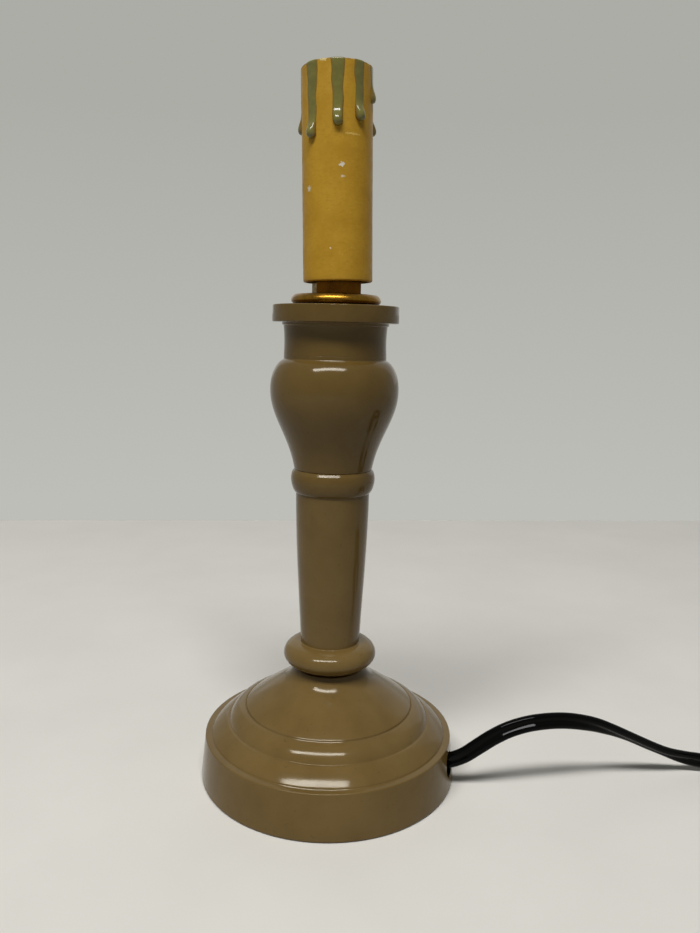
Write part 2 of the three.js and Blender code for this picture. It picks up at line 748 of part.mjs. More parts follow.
// Free cord: the run past the viewer's right edge, the coil of the spare length, and the tail to the plug
function makeFreeCord() {
  add('cord_run', cord(cordRunPoints, cordWidth, cordThickness, cordCorner), cordVinyl);
  add('cord_tail', cord(cordTailPoints, cordWidth, cordThickness, cordCorner), cordVinyl);
  const coilTop = coilBottom + coilHeight;
  const coilOutline = [
    point(coilInner + coilBevel, coilBottom),
    point(coilOuter - coilBevel, coilBottom),
    point(coilOuter, coilBottom + coilBevel),
    point(coilOuter, coilTop - coilBevel),
    point(coilOuter - coilBevel, coilTop),
    point(coilInner + coilBevel, coilTop),
    point(coilInner, coilTop - coilBevel),
    point(coilInner, coilBottom + coilBevel),
    point(coilInner + coilBevel, coilBottom),
  ];
  const spare = new THREE.Group();
  spare.position.set(coilCentre[0], coilCentre[1], 0);
  lamp.add(spare);
  add('cord_coil', turned(coilOutline, columnFacets), cordVinyl, spare);

  const reach = coilOuter - coilInner + 2 * tieGap;
  const rise = coilHeight + 2 * tieGap;
  const [band, window] = [tieThickness, 0].map((extra) => (
    roundedRectangle(reach + 2 * extra, rise + 2 * extra, coilBevel + extra)
  ));
  band.holes.push(window);
  const loop = new THREE.ExtrudeGeometry(band, { depth: tieWidth, bevelEnabled: false, curveSegments: 4 })
    .translate(0, 0, -tieWidth / 2)
    .rotateX(Math.PI / 2)
    .translate((coilInner + coilOuter) / 2, 0, coilBottom + coilHeight / 2);
  add('coil_tie', solid(loop), hardPlastic, spare).rotation.z = tieBearing;
}

// Switch on the cord: two halves around the cord, a thumb wheel between them, and a screw
function makeSwitch() {
  const box = new THREE.Group();
  box.position.set(switchCentre[0], switchCentre[1], 0);
  box.rotation.z = switchHeading;
  lamp.add(box);

  const plan = roundedRectangle(switchLength, switchWidth, switchRound);
  const whole = slab(plan, 0, switchHeight, switchEdge);
  const far = switchLength;
  const topStart = switchSplit + seatGap;
  const lowerSpace = block([-far, -far, -throughCut], [far, far, switchSplit]);
  const upperSpace = block([-far, -far, topStart], [far, far, switchHeight + throughCut]);
  const side = channelWidth / 2;
  const channel = block([-far, -side, channelFloor], [far, side, switchSplit + throughCut]);
  const wheelFoot = topStart + wheelLift;
  const wheelTop = wheelFoot + wheelThickness;
  const axleFoot = wheelFoot - axleLength;
  const axleTop = switchHeight - switchRoof - boreGap;
  const axleSpace = disc(axleRadius + boreGap, axleFoot - boreGap, axleTop + boreGap, pegFacets);
  const wheelSpace = disc(wheelRadius + wheelGap, topStart - throughCut, wheelTop + wheelGap);
  const wheelRoom = wheelSpace.add(axleSpace).translate([0, wheelOffset, 0]);
  const headFoot = switchHeight - switchScrewHeadHeight;
  const screwFoot = topStart - switchScrewGrip;
  const screwPlace = [switchLength / 2 - switchScrewInset[0], switchScrewInset[1] - switchWidth / 2, 0];
  const screwRoom = disc(switchScrewHead + boreGap, headFoot - seatGap, switchHeight + throughCut, pegFacets)
    .add(disc(switchScrewShank + boreGap, screwFoot - boreGap, headFoot, pegFacets))
    .translate(screwPlace);
  add('switch_lower_half', whole.intersect(lowerSpace).subtract(channel).subtract(screwRoom)
    .subtract(axleSpace.translate([0, wheelOffset, 0])), hardPlastic, box);
  const upperHalf = whole.intersect(upperSpace).subtract(wheelRoom).subtract(screwRoom);
  add('switch_upper_half', upperHalf, hardPlastic, box);
  const screw = disc(switchScrewHead, headFoot, switchHeight - seatGap, pegFacets)
    .add(disc(switchScrewShank, screwFoot, headFoot + switchScrewHeadHeight / 2, pegFacets));
  add('switch_screw', screw.translate(screwPlace), steel, box);

  const rim = new THREE.Shape();
  for (let i = 0; i < 2 * wheelRidges; i += 1) {
    const angle = i * Math.PI / wheelRidges;
    const radius = wheelRadius - (i % 2) * wheelRidgeDepth;
    const [x, y] = [radius * Math.cos(angle), radius * Math.sin(angle)];
    if (i === 0) rim.moveTo(x, y);
    else rim.lineTo(x, y);
  }
  rim.closePath();
  const wheel = slab(rim, wheelFoot, wheelTop).add(disc(axleRadius, axleFoot, axleTop, pegFacets));
  add('switch_wheel', wheel, hardPlastic, box).position.y = wheelOffset;
}

// Plug with two flat blades, lying beside the coil
function makePlug() {
  const plug = new THREE.Group();
  plug.position.set(plugBack, plugSide, 0);
  plug.rotation.z = Math.PI;
  lamp.add(plug);
  const [neck, side] = [plugNeckWidth / 2, plugWidth / 2];
  const shape = new THREE.Shape();
  shape.moveTo(0, -neck);
  shape.bezierCurveTo(plugShoulder / 2, -neck, plugShoulder / 2, -side, plugShoulder, -side);
  shape.lineTo(plugLength - plugRound, -side);
  shape.absarc(plugLength - plugRound, -side + plugRound, plugRound, -Math.PI / 2, 0);
  shape.lineTo(plugLength, side - plugRound);
  shape.absarc(plugLength - plugRound, side - plugRound, plugRound, 0, Math.PI / 2);
  shape.lineTo(plugShoulder, side);
  shape.bezierCurveTo(plugShoulder / 2, side, plugShoulder / 2, neck, 0, neck);
  shape.closePath();
  add('plug_body', slab(shape, 0, plugHeight, plugEdge), hardPlastic, plug);
  const start = plugLength + seatGap;
  for (const [name, place] of [['plug_blade_live', -0.5], ['plug_blade_neutral', 0.5]]) {
    const middle = place * bladeSpacing;
    const blade = block(
      [start, middle - bladeThickness / 2, (plugHeight - bladeWidth) / 2],
      [start + bladeLength, middle + bladeThickness / 2, (plugHeight + bladeWidth) / 2],
    );
    add(name, blade, brass, plug);
  }
}

makeBase();
makeColumn();
makeStack();
makeSocket();
makeCandle();
makeInnerCord();
makeFreeCord();
makeSwitch();
makePlug();

export default lamp;
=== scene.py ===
import math
from math import cos, radians, sin

import bmesh
import bpy
from mathutils import Matrix, Quaternion, Vector, noise


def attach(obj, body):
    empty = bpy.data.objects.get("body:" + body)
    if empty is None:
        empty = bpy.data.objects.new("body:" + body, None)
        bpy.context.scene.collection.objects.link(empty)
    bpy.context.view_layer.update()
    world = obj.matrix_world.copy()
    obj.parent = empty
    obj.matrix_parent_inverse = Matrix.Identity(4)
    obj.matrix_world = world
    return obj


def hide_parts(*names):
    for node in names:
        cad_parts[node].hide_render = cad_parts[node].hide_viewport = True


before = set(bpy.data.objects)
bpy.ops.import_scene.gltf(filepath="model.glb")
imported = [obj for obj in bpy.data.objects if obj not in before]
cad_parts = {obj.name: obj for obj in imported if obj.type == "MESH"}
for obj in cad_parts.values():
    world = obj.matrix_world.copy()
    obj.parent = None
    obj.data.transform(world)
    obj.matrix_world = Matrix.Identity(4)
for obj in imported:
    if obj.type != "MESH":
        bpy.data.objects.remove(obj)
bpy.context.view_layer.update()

MM = 0.001
TURN = 2 * math.pi

# Camera, fitted to a picture of 700 by 933 pixels
PICTURE_HEIGHT = 933
FOCAL_PIXELS = 787
SENSOR = 36
CAMERA_PLACE = (5.6, -257.1, 150.8)
CAMERA_PITCH = 9.59
CAMERA_ROLL = 1.26
CAMERA_CLIP = 10

# Fineness of the meshes
ROUND_SEGMENTS = 144
SMALL_SEGMENTS = 48
ARC_STEPS = 14
FINE_STEPS = 28
FILLET_WAYS = (0, 0.2, 0.8, 1)
WELD = 0.0005
SHARP_ANGLE = 38
EASE_STEPS = 4
EASE_TURN = 24
EASE_SHARE = 0.45
CUT_PAST = 1

# Base
BASE_RADIUS = 43.8
BASE_FOOT_EASE = 0.5
RIM_RADIUS = 42.3
WALL_TOP = 15.2
LEDGE_END = 15.24
QUIRK_RADIUS = 40.05
QUIRK_FILLET = 0.22
LOWER_OVOLO_RADIUS = 40
LOWER_OVOLO_INNER = 34.8
LOWER_OVOLO_FOOT = 15.7
LOWER_OVOLO_TOP = 19.8
LOWER_OVOLO_BULGE = 0.22
UPPER_OVOLO_RADIUS = 34.2
UPPER_OVOLO_INNER = 28.9
UPPER_OVOLO_TOP = 24.52
UPPER_OVOLO_BULGE = 0.79
GROOVE_RADIUS = 28.43
GROOVE_FILLET = 0.15
GROOVE_FOOT = 24.27
DOME_RADIUS = 28.19
DOME_FOOT = 24.97
DOME_LIP = 0.13
DOME_BULGE = 0.2
DOME_TOP = 33.7
COVE_RADIUS = 15.4
COVE_FOOT = (1.3, 0.92)
COVE_HEAD = (1, 1.95)
BASE_NECK = 11.9
BASE_TOP = 38.2
TENON_HOLE = 9.3
TENON_FLOOR = 28.8
PIPE_HOLE = 5.15
NUT_WELL = 13
NUT_WELL_TOP = 24.4
BASE_RECESS = 34
BASE_RECESS_TOP = 13
FELT_SEAT = 40.3
FELT_SEAT_DEPTH = 1.2
FELT_RADIUS = 40
FELT_THICKNESS = 0.9
FELT_EASE = 0.25
CORD_HOLE_RADIUS = 4.3
CORD_HOLE_HEIGHT = 8.3
CORD_HOLE_BEARING = -16
CORD_HOLE_REACH = (33, 46)
PAINT_EASE = 0.4
# Near-black inside the cord hole, the base's hollow and its underside: unpainted wood, darkened as
# painted shade
BARE_SHADE_RADIUS = 43.5
BARE_SHADE_RADIUS_FADE = 0.1
BARE_SHADE_TOP = 14
BARE_SHADE_TOP_FADE = 0.3
# Heights over which the paint turns darker upwards: painted shade on the upper column
PAINT_SHADE_HEIGHTS = (46, 118)

# Column
TENON_RADIUS = 9
TENON_FOOT = 29.1
COLUMN_FOOT = 38.5
FOOT_NECK = 11.2
BUN_START = -75
BUN_CORE = 10.7
BUN_ROUND = 5.05
BUN_LOWER = 3.8
BUN_MIDDLE = 42.7
BUN_TOP = 46.9
SHAFT_FOOT = 10
SHAFT_HEAD = 12.2
SHAFT_LOWER_PULL = 0.86
SHAFT_UPPER_PULL = -0.08
BEAD_FOOT = 98.9
BEAD_CORE = 12.3
BEAD_ROUND = 1.6
BEAD_MIDDLE = 103.3
BEAD_LEANNESS = 1.6
BEAD_TOP = 106.8
BEAD_FLAT = (43, 68)
BEAD_END = 80
VASE_FOOT = 12.85
VASE_BELLY = 20.9
VASE_BELLY_HEIGHT = 132.6
VASE_LOWER_PULL = (2.14, 11.5)
VASE_UPPER_PULL = 9.1
SHOULDER_ROUND = 5.55
SHOULDER_SPAN = 10.1
SHOULDER_END = 75.5
SHOULDER_FILLET = (0.14, 0.22)
NECK_LINE = 1.15
NECK_LINE_DEPTH = 0.05
NECK_HEAD = 16.75
NECK_HOLLOW = 0.22
NECK_RING = 17.2
NECK_RING_HEIGHT = 0.9
FLANGE_FOOT = 154.04
FLANGE_RADIUS = 20.35
FLANGE_TOP = 159.44

# Brass disc and nut
DISC_RADIUS = 14.4
DISC_FOOT = 159.74
DISC_TOP = 163.14
DISC_ROUND = 1.6
DISC_MIDDLE = 161.1
DISC_LEANNESS = 1.6
DISC_CROWN = 0.3
NUT_FLATS = 14.3
NUT_FOOT = 163.18
NUT_TOP = 169.84
NUT_TURN = -106.7
NUT_CHAMFER_RADIUS = 7.3
NUT_CHAMFER = 0.6
NUT_CHAMFER_STEPS = 3
NUT_FACET = 60

# Lean of the candle and its socket, about the middle of the socket's hub
LEAN = 1.29
LEAN_PLACE = (0.3, 0, 172.79)

# Candle sleeve
SLEEVE_BORE = 10.2
SLEEVE_RADIUS = 11
SLEEVE_FOOT = 166.74
SLEEVE_TOP = 230.24
SLEEVE_RIM = 0.4
SLEEVE_ROWS = 64
SLEEVE_FOOT_ROUND = 0.55
SLEEVE_BORE_FOOT = 0.2
SLEEVE_DENTS = 0.07
SLEEVE_DENT_SCALE = 0.11

# Chips and a crease in the candle's paint, and a painted highlight on its rim:
# bearing from the viewer, height, half width, half height and colour
CHIPS_AND_RIM_HIGHLIGHT = (
    (8.0, 200.5, 0.75, 0.6, (216, 209, 190)), (9.9, 197.1, 0.75, 0.35, (206, 192, 160)),
    (-50.6, 194.3, 0.75, 0.85, (204, 195, 172)), (-10.9, 176.3, 0.3, 0.3, (214, 200, 164)),
    # The last entry is the painted highlight on the rim
    (22.5, 209.3, 2.4, 0.3, (208, 172, 90)), (-20, 229.9, 1.3, 0.4, (206, 186, 120)),
)
MARK_EDGE = (0.8, 1.05)
MARK_RAGGED = 0.45
RIM_STAIN = (0.7, 0.25)

# Wax runs: bearing from the viewer, length, half widths at the top, lower down and at the drop,
# drop's height
WAX_RUNS = (
    (-97, 18.9, 1.7, 1.3, 1.6, 1.3),
    (-42, 22.0, 2.3, 1.7, 1.6, 1.9),
    (2, 19.1, 2.15, 1.65, 1.5, 2.0),
    (38, 17.2, 1.95, 1.55, 1.6, 1.9),
    (76, 10.8, 1.8, 1.5, 1.7, 1.2),
    (110, 18.9, 1.7, 1.3, 1.7, 1.8),
    (148, 14.5, 1.9, 1.5, 1.7, 1.5),
    (-172, 21.5, 1.8, 1.3, 1.7, 1.7),
    (-134, 13.0, 1.7, 1.4, 1.6, 1.4),
)
WAX_BAND = 0.15
WAX_SINK = 0.12
WAX_STEP = 0.35
WAX_CLOSING = 1.5
WAX_SWELL = 2.6
WAX_ACROSS = 17
WAX_OVER_RIM = 170
WAX_RIM_STEPS = 8
WAX_NARROWS = 0.6
WAX_TIP = 0.0004
WAX_SWAY = (0.12, 0.7, 1.9)
WAX_WAVER = (0.03, 1.1, 2.3)
WAX_START = (-0.4, 0.5)
WAX_BAND_POWER = 4
WAX_DROP_POWER = 2
WAX_SEAM = 0.999
WAX_UNDERSIDE = (0.6, 0, -0.6)
WAX_DIGITS = 3

# Socket inside the sleeve
LINER_BORE = 9.5
LINER_RADIUS = 9.9
LINER_FOOT = 176.44
LINER_TOP = 222.24
LINER_EASE = 0.12
SHELL_RADIUS = 6.6
SHELL_BORE = 6.25
SHELL_LIP = 7.6
SHELL_FOOT = 207.54
SHELL_LIP_FOOT = 225.74
SHELL_TOP = 226.24
SHELL_PITCH = 2.54
SHELL_THREAD = 0.22
SHELL_THREAD_STARTS = (0, 2)
SHELL_THREAD_ENDS = (3, 1)
SHELL_ROWS = 96

# Cord: two round cores side by side, joined by a web
CORD_WIDTH = 5.3
CORD_CORE = 1.35
CORD_WEB = 0.85
CORD_STEP = 1.6
CORD_RUN = (
    (34.7, -9.9, 8.1), (40.5, -11.5, 9.4), (45.7, -12.8, 12.1), (50.3, -13.8, 16),
    (55, -14.6, 19.9), (60.2, -14.8, 22.9), (66, -14.4, 24.7), (72, -13.6, 25.4),
    (78, -12.4, 25.2), (83.9, -11, 24.2), (89.6, -9.5, 22.6), (95.1, -7.9, 20.4),
    (100.4, -6.3, 17.9), (105.6, -4.6, 15.2), (110.8, -3.1, 12.4), (116.1, -1.6, 9.7),
    (121.6, -0.3, 7.3), (127.3, 0.8, 5.3), (133.3, 1.2, 4.1), (139.3, 0.5, 3.9),
    (145.9, -1.2, 4.4), (153.7, -4, 4.6), (162.9, -8, 4.6), (172, -12.1, 4.6),
    (181.1, -16.2, 4.6), (190.3, -20.2, 4.6), (197.6, -23.5, 4.6), (205, -26.2, 4.2),
    (212, -28.1, 4), (217.4, -29.2, 3.9),
)
# Turns of the cord about its own line, each with the place along X where it is reached
CORD_TWISTS = ((42, 0), (56, -25), (76, -25), (106, 62), (115, 62), (134, 0))
CORD_TAIL = (
    (224.4, 37.6, 9.3), (220.6, 37.3, 9.2), (215, 36.9, 8.2), (209, 36.6, 7), (203.3, 36.5, 6.5),
)
COIL_CENTER = (240, 2.2)
COIL_ENTRY = -100
COIL_OUTER = 35
COIL_INNER = 23.1
COIL_PITCH = 2.9
COIL_LOWER = 3.85
COIL_UPPER = 9.3
COIL_CLIMB = 60
COIL_OUTWARD = 1534
COIL_STEP = 7.5

# Tie round the coil
TIE_BEARING = 25
TIE_WIDTH = 5
TIE_THICKNESS = 0.6
TIE_GAP = 0.45
TIE_CORNER = 3
TIE_EASE = 0.2
COIL_BORE = 21.6
COIL_RADIUS = 37
COIL_FOOT = 1.1
COIL_HEIGHT = 10.95

# Switch on the cord
SWITCH_CENTER = (172, -12.1)
SWITCH_HEADING = -24
SWITCH_LENGTH = 52
SWITCH_WIDTH = 22
SWITCH_HEIGHT = 16
SWITCH_CORNER = 9
SWITCH_SPLIT = 7.6
SWITCH_GAP = 0.3
SWITCH_EDGE = 2.2
SWITCH_EDGE_STEPS = 5
CHANNEL_WIDTH = 4.4
CHANNEL_FLOOR = 1.6
CHANNEL_CORNER = 0.4
CHANNEL_PAST = 2
WHEEL_OFFSET = 4.5
WHEEL_RADIUS = 9.5
WHEEL_FOOT = 8.6
WHEEL_TOP = 12.8
WHEEL_RIDGES = 30
WHEEL_RIDGE = 0.5
WHEEL_RIDGE_POINTS = 8
WHEEL_EDGE = 0.5
WHEEL_ROOM = 0.5
SCREW = (17.5, -6)
SCREW_RADIUS = 2.6
SCREW_FOOT = 14.5
SCREW_TOP = 15.7
SCREW_EASE = 0.4
SCREW_SLOT_WIDTH = 0.7
SCREW_SLOT_DEPTH = 0.6
SCREW_SLOT_CORNER = 0.1
SCREW_SLOT_TURN = 35

# Plug
PLUG_BACK = 203
PLUG_SIDE = 36.5
PLUG_LENGTH = 27
PLUG_WIDTH = 20
PLUG_HEIGHT = 12.8
PLUG_NECK = 8.5
PLUG_NECK_HEIGHT = 7.6
PLUG_SHOULDER = 18
PLUG_ROUND = 2.5
PLUG_ROUND_SHARE = 0.45
PLUG_STEP = 0.375
PLUG_STATIONS = 70
PLUG_EDGE = 1.2
PLUG_EDGE_STEPS = 6
PLUG_RIBS = (5, 15, 4)
PLUG_RIB = 0.5
BLADE_LENGTH = 17.5
BLADE_WIDTH = 6.35
BLADE_THICKNESS = 1.5
BLADE_SPACING = 12.7
BLADE_GAP = 0.3
BLADE_TIP = 2
BLADE_TIP_WIDTH = 0.55
BLADE_CORNER = 0.5
BLADE_EDGE = 0.12
BLADE_EDGE_SHRINKS = (9, 3)
BLADE_HOLE = 1.6
BLADE_HOLE_PLACE = 4


# Outlines and places

def arc(center, spans, start, end, steps=ARC_STEPS, power=2):
    """Points of an ellipse from one angle to another, or of a fuller or leaner oval."""
    points = []
    for i in range(steps + 1):
        a = radians(start + (end - start) * i / steps)
        c, s = (math.copysign(abs(v) ** (2 / power), v) for v in (cos(a), sin(a)))
        points.append((center[0] + spans[0] * c, center[1] + spans[1] * s))
    return points


def bow(start, end, bulge, steps=ARC_STEPS):
    """Points of a shallow bow that bulges to the right of its way."""
    way = Vector(end) - Vector(start)
    side = Vector((way.y, -way.x)).normalized()
    ways = [i / steps for i in range(steps + 1)]
    return [tuple(Vector(start) + way * t + side * (4 * bulge * t * (1 - t))) for t in ways]


def bezier(a, b, c, d, steps=ARC_STEPS):
    """Points of a cubic curve from a to d, pulled by b and c."""
    points = []
    for i in range(steps + 1):
        t = i / steps
        weights = ((1 - t) ** 3, 3 * t * (1 - t) ** 2, 3 * t * t * (1 - t), t ** 3)
        points.append(tuple(sum(w * p[k] for w, p in zip(weights, (a, b, c, d))) for k in (0, 1)))
    return points


def fillet(start, end):
    """Points of a narrow straight fillet whose middle keeps its own slope when it is shaded."""
    return [tuple(Vector(start).lerp(Vector(end), t)) for t in FILLET_WAYS]


def eased(outline, size):
    """A closed outline with its sharp corners rounded by about that size."""
    count = len(outline)
    rounded = []
    for i, corner in enumerate(outline):
        p = Vector(corner)
        back = Vector(outline[i - 1]) - p
        ahead = Vector(outline[(i + 1) % count]) - p
        if back.length < WELD or ahead.length < WELD:
            continue
        if math.degrees(math.pi - back.angle(ahead)) < EASE_TURN:
            rounded.append(tuple(p))
            continue
        a = p + back.normalized() * min(size, back.length * EASE_SHARE)
        b = p + ahead.normalized() * min(size, ahead.length * EASE_SHARE)
        for k in range(EASE_STEPS + 1):
            t = k / EASE_STEPS
            rounded.append(tuple(a.lerp(p, t).lerp(p.lerp(b, t), t)))
    return rounded


def rounded_rectangle(length, width, corner, steps=6):
    """A closed outline about the origin."""
    x, y = length / 2 - corner, width / 2 - corner
    points = []
    for cx, cy, start in ((x, y, 0), (-x, y, 90), (-x, -y, 180), (x, -y, 270)):
        points += arc((cx, cy), (corner, corner), start, start + 90, steps)
    return points


def smooth(low, high, value):
    """0 below low, 1 above high, and a smooth step between them."""
    t = min(1, max(0, (value - low) / (high - low)))
    return t * t * (3 - 2 * t)


def turn(angle, axis):
    """The matrix of a turn about an axis."""
    return Matrix.Rotation(radians(angle), 4, axis)


LEANING = (Matrix.Translation(LEAN_PLACE) @ turn(-LEAN, "Y")
           @ Matrix.Translation((0, 0, -LEAN_PLACE[2])))


def on_sleeve(bearing, height, radius=SLEEVE_RADIUS):
    """A point at that bearing from the viewer, on a candle that stands straight."""
    a = radians(bearing)
    return Vector((radius * sin(a), -radius * cos(a), height))


# Meshes

def piece(name, points, faces, material, place=None, sharp=SHARP_ANGLE):
    """A new object from points in millimetres, moved by place, welded and shaded smooth."""
    mesh = bpy.data.meshes.new(name)
    moved = [place @ Vector(p) for p in points] if place else [Vector(p) for p in points]
    mesh.from_pydata([p * MM for p in moved], [], faces)
    form = bmesh.new()
    form.from_mesh(mesh)
    bmesh.ops.remove_doubles(form, verts=form.verts, dist=WELD * MM)
    bmesh.ops.recalc_face_normals(form, faces=form.faces)
    form.to_mesh(mesh)
    form.free()
    mesh.shade_smooth()
    mesh.set_sharp_from_angle(angle=radians(sharp))
    mesh.materials.append(material)
    made = bpy.data.objects.new(name, mesh)
    bpy.context.collection.objects.link(made)
    return made


def skin(rings, closed=False):
    """Points and faces of a surface over rings of points, capped unless it closes on itself."""
    count = len(rings[0])
    points = [p for ring in rings for p in ring]
    faces = []
    for i in range(len(rings) if closed else len(rings) - 1):
        a, b = i * count, (i + 1) % len(rings) * count
        faces += [(a + j, a + (j + 1) % count, b + (j + 1) % count, b + j) for j in range(count)]
    if not closed:
        faces.append(tuple(reversed(range(count))))
        faces.append(tuple(range(len(points) - count, len(points))))
    return points, faces


def turned(name, outline, material, place=None, segments=ROUND_SEGMENTS):
    """A turned piece from a closed outline of radius and height."""
    rings = []
    for i in range(segments):
        c, s = cos(TURN * i / segments), sin(TURN * i / segments)
        rings.append([(r * c, r * s, z) for r, z in outline])
    return piece(name, *skin(rings, closed=True), material, place)


def tube_outline(bore, radius, foot, top):
    """The outline of a plain tube."""
    return [(bore, foot), (radius, foot), (radius, top), (bore, top)]


def slab(name, outlines, material, place=None, sharp=SHARP_ANGLE):
    """A piece from level outlines, each a height and its points, from the bottom up."""
    rings = [[(x, y, z) for x, y in points] for z, points in outlines]
    return piece(name, *skin(rings), material, place, sharp)


def cut(target, cutter):
    """Takes the cutter's shape out of the target, and removes the cutter."""
    knife = target.modifiers.new("cut", "BOOLEAN")
    knife.object = cutter
    knife.solver = "EXACT"
    bpy.context.view_layer.update()
    graph = bpy.context.evaluated_depsgraph_get()
    result = bpy.data.meshes.new_from_object(target.evaluated_get(graph))
    target.modifiers.clear()
    old = target.data
    target.data = result
    result.name = target.name
    result.set_sharp_from_angle(angle=radians(SHARP_ANGLE))
    bpy.data.meshes.remove(old)
    bpy.data.objects.remove(cutter)


def fasten(made, body, slot, *nodes):
    """The piece rides on a body and stands for CAD nodes, which it hides; its material slot is not
    used.
    """
    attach(made, body)
    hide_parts(*nodes)
    return made


# Materials

def linear(red, green, blue):
    """A colour written as a screen shows it, from 0 to 255, as linear values."""
    parts = [value / 255 for value in (red, green, blue)]
    curve = [p / 12.92 if p <= 0.04045 else ((p + 0.055) / 1.055) ** 2.4 for p in parts]
    return tuple(curve) + (1,)


def wire(target, inputs):
    """Sets a node's inputs to values, or links them to outputs of other nodes."""
    for key, value in inputs.items():
        if isinstance(value, bpy.types.NodeSocket):
            target.id_data.links.new(value, target.inputs[key])
        else:
            target.inputs[key].default_value = value


def feed(shader, **sockets):
    """Sets or links sockets of a shader, with _ for the spaces in their names."""
    wire(shader, {key.replace("_", " "): value for key, value in sockets.items()})


def node(tree, kind, inputs=(), **settings):
    """A new node with its settings, and with its inputs set or linked."""
    made = tree.nodes.new(kind)
    for key, value in settings.items():
        setattr(made, key, value)
    wire(made, dict(inputs))
    return made


def finish_of(name, **sockets):
    """A new material, its node tree and its shader with the sockets set."""
    material = bpy.data.materials.new(name)
    material.use_nodes = True
    shader = material.node_tree.nodes["Principled BSDF"]
    feed(shader, **sockets)
    return material, material.node_tree, shader


def position(tree):
    """The place of a surface point on its object."""
    return node(tree, "ShaderNodeTexCoord").outputs["Object"]


def stretched(tree, scale):
    """The place of a surface point, stretched along the axes."""
    inputs = {"Vector": position(tree), "Scale": scale}
    return node(tree, "ShaderNodeMapping", inputs).outputs["Vector"]


def grain(tree, size, detail=3, vector=None):
    """Noise with features of about that size in millimetres."""
    inputs = {"Vector": vector or position(tree), "Scale": 1 / (size * MM),
              "Detail": detail, "Roughness": 0.55}
    return node(tree, "ShaderNodeTexNoise", inputs).outputs[0]


def spread(value, low, high, start=0.35, end=0.65):
    """A value from start to end, turned into one from low to high."""
    inputs = {"Value": value, "From Min": start, "From Max": end, "To Min": low, "To Max": high}
    return node(value.id_data, "ShaderNodeMapRange", inputs).outputs["Result"]


def blend(factor, first, second):
    """A colour between two."""
    inputs = {0: factor, 6: first, 7: second}
    return node(factor.id_data, "ShaderNodeMix", inputs, data_type="RGBA").outputs[2]


def maths(operation, *values):
    """A sum on values, the first of them a socket."""
    inputs = dict(enumerate(values))
    return node(values[0].id_data, "ShaderNodeMath", inputs, operation=operation).outputs[0]


def vector_maths(operation, *vectors):
    """The outputs of a sum on vectors, the first of them a socket."""
    inputs = dict(enumerate(vectors))
    return node(vectors[0].id_data, "ShaderNodeVectorMath", inputs, operation=operation).outputs


def relief(shader, height, depth, normal=None):
    """Fine relief of that depth in millimetres, on top of another if one is given."""
    inputs = {"Height": height, "Distance": depth * MM, "Strength": 1}
    if normal:
        inputs["Normal"] = normal
    made = node(shader.id_data, "ShaderNodeBump", inputs).outputs["Normal"]
    feed(shader, Normal=made)
    return made


def make_paint():
    """Tan gloss paint on wood: cloudy, with brush and dust marks, turning darker higher up as
    painted shade, and near-black as painted shade on the unpainted wood in the base.
    """
    material, tree, shader = finish_of("tan_paint", Specular_IOR_Level=0.25,
                                       Specular_Tint=(1, 0.96, 0.84, 1))
    clouds = spread(grain(tree, 14), 0, 1)
    x, y, z = node(tree, "ShaderNodeSeparateXYZ", {0: position(tree)}).outputs
    # Painted shade: a lighter tone low on the base and a darker one up the column, blended by
    # height
    low = blend(clouds, linear(106, 84, 44), linear(114, 92, 51))
    high = blend(clouds, linear(92, 71, 32), linear(99, 78, 38))
    tone = blend(spread(z, 0, 1, *[h * MM for h in PAINT_SHADE_HEIGHTS]), low, high)
    specks = spread(grain(tree, 0.9, detail=2), 0, 0.5, start=0.66, end=0.74)
    tone = blend(specks, tone, linear(80, 62, 30))
    # Painted shade: near-black on the unpainted wood in the cord hole, the base's hollow and its
    # underside
    squares = maths("ADD", maths("POWER", x, 2), maths("POWER", y, 2))
    taper = maths("MULTIPLY", z, (BASE_RADIUS - RIM_RADIUS) / WALL_TOP)
    drawn = maths("ADD", maths("SQRT", squares), taper)
    within = spread(drawn, 1, 0, BARE_SHADE_RADIUS * MM, (BARE_SHADE_RADIUS + BARE_SHADE_RADIUS_FADE) * MM)
    under = spread(z, 1, 0, BARE_SHADE_TOP * MM, (BARE_SHADE_TOP + BARE_SHADE_TOP_FADE) * MM)
    bare_shade = maths("MULTIPLY", within, under)
    feed(shader, Base_Color=blend(bare_shade, tone, linear(24, 18, 12)),
         Roughness=spread(grain(tree, 5), 0.1, 0.15))
    brush = grain(tree, 5, detail=2, vector=stretched(tree, (1, 1, 3)))
    waves = relief(shader, brush, depth=0.014)
    relief(shader, grain(tree, 0.45, detail=2), depth=0.002, normal=waves)
    return material


def make_metal(name, color, dull, roughness, line, **sockets):
    """Metal with turning marks round the Z axis and cloudy tarnish."""
    material, tree, shader = finish_of(name, Metallic=1, **sockets)
    clouds = spread(grain(tree, 4), 0, 1)
    gloss = spread(grain(tree, 1.6), roughness * 0.8, roughness * 1.3)
    feed(shader, Base_Color=blend(clouds, color, dull), Roughness=gloss)
    marks = grain(tree, 0.6, detail=2, vector=stretched(tree, (0.15, 0.15, line)))
    relief(shader, marks, depth=0.006)
    return material


def make_plain(name, first, second, cloud, roughness, mark, depth, **sockets):
    """A moulded or pressed material with cloudy colour and fine relief."""
    material, tree, shader = finish_of(name, **sockets)
    clouds = spread(grain(tree, cloud), 0, 1)
    gloss = spread(grain(tree, cloud * 0.4), roughness * 0.85, roughness * 1.2)
    feed(shader, Base_Color=blend(clouds, first, second), Roughness=gloss)
    relief(shader, grain(tree, mark), depth)
    return material


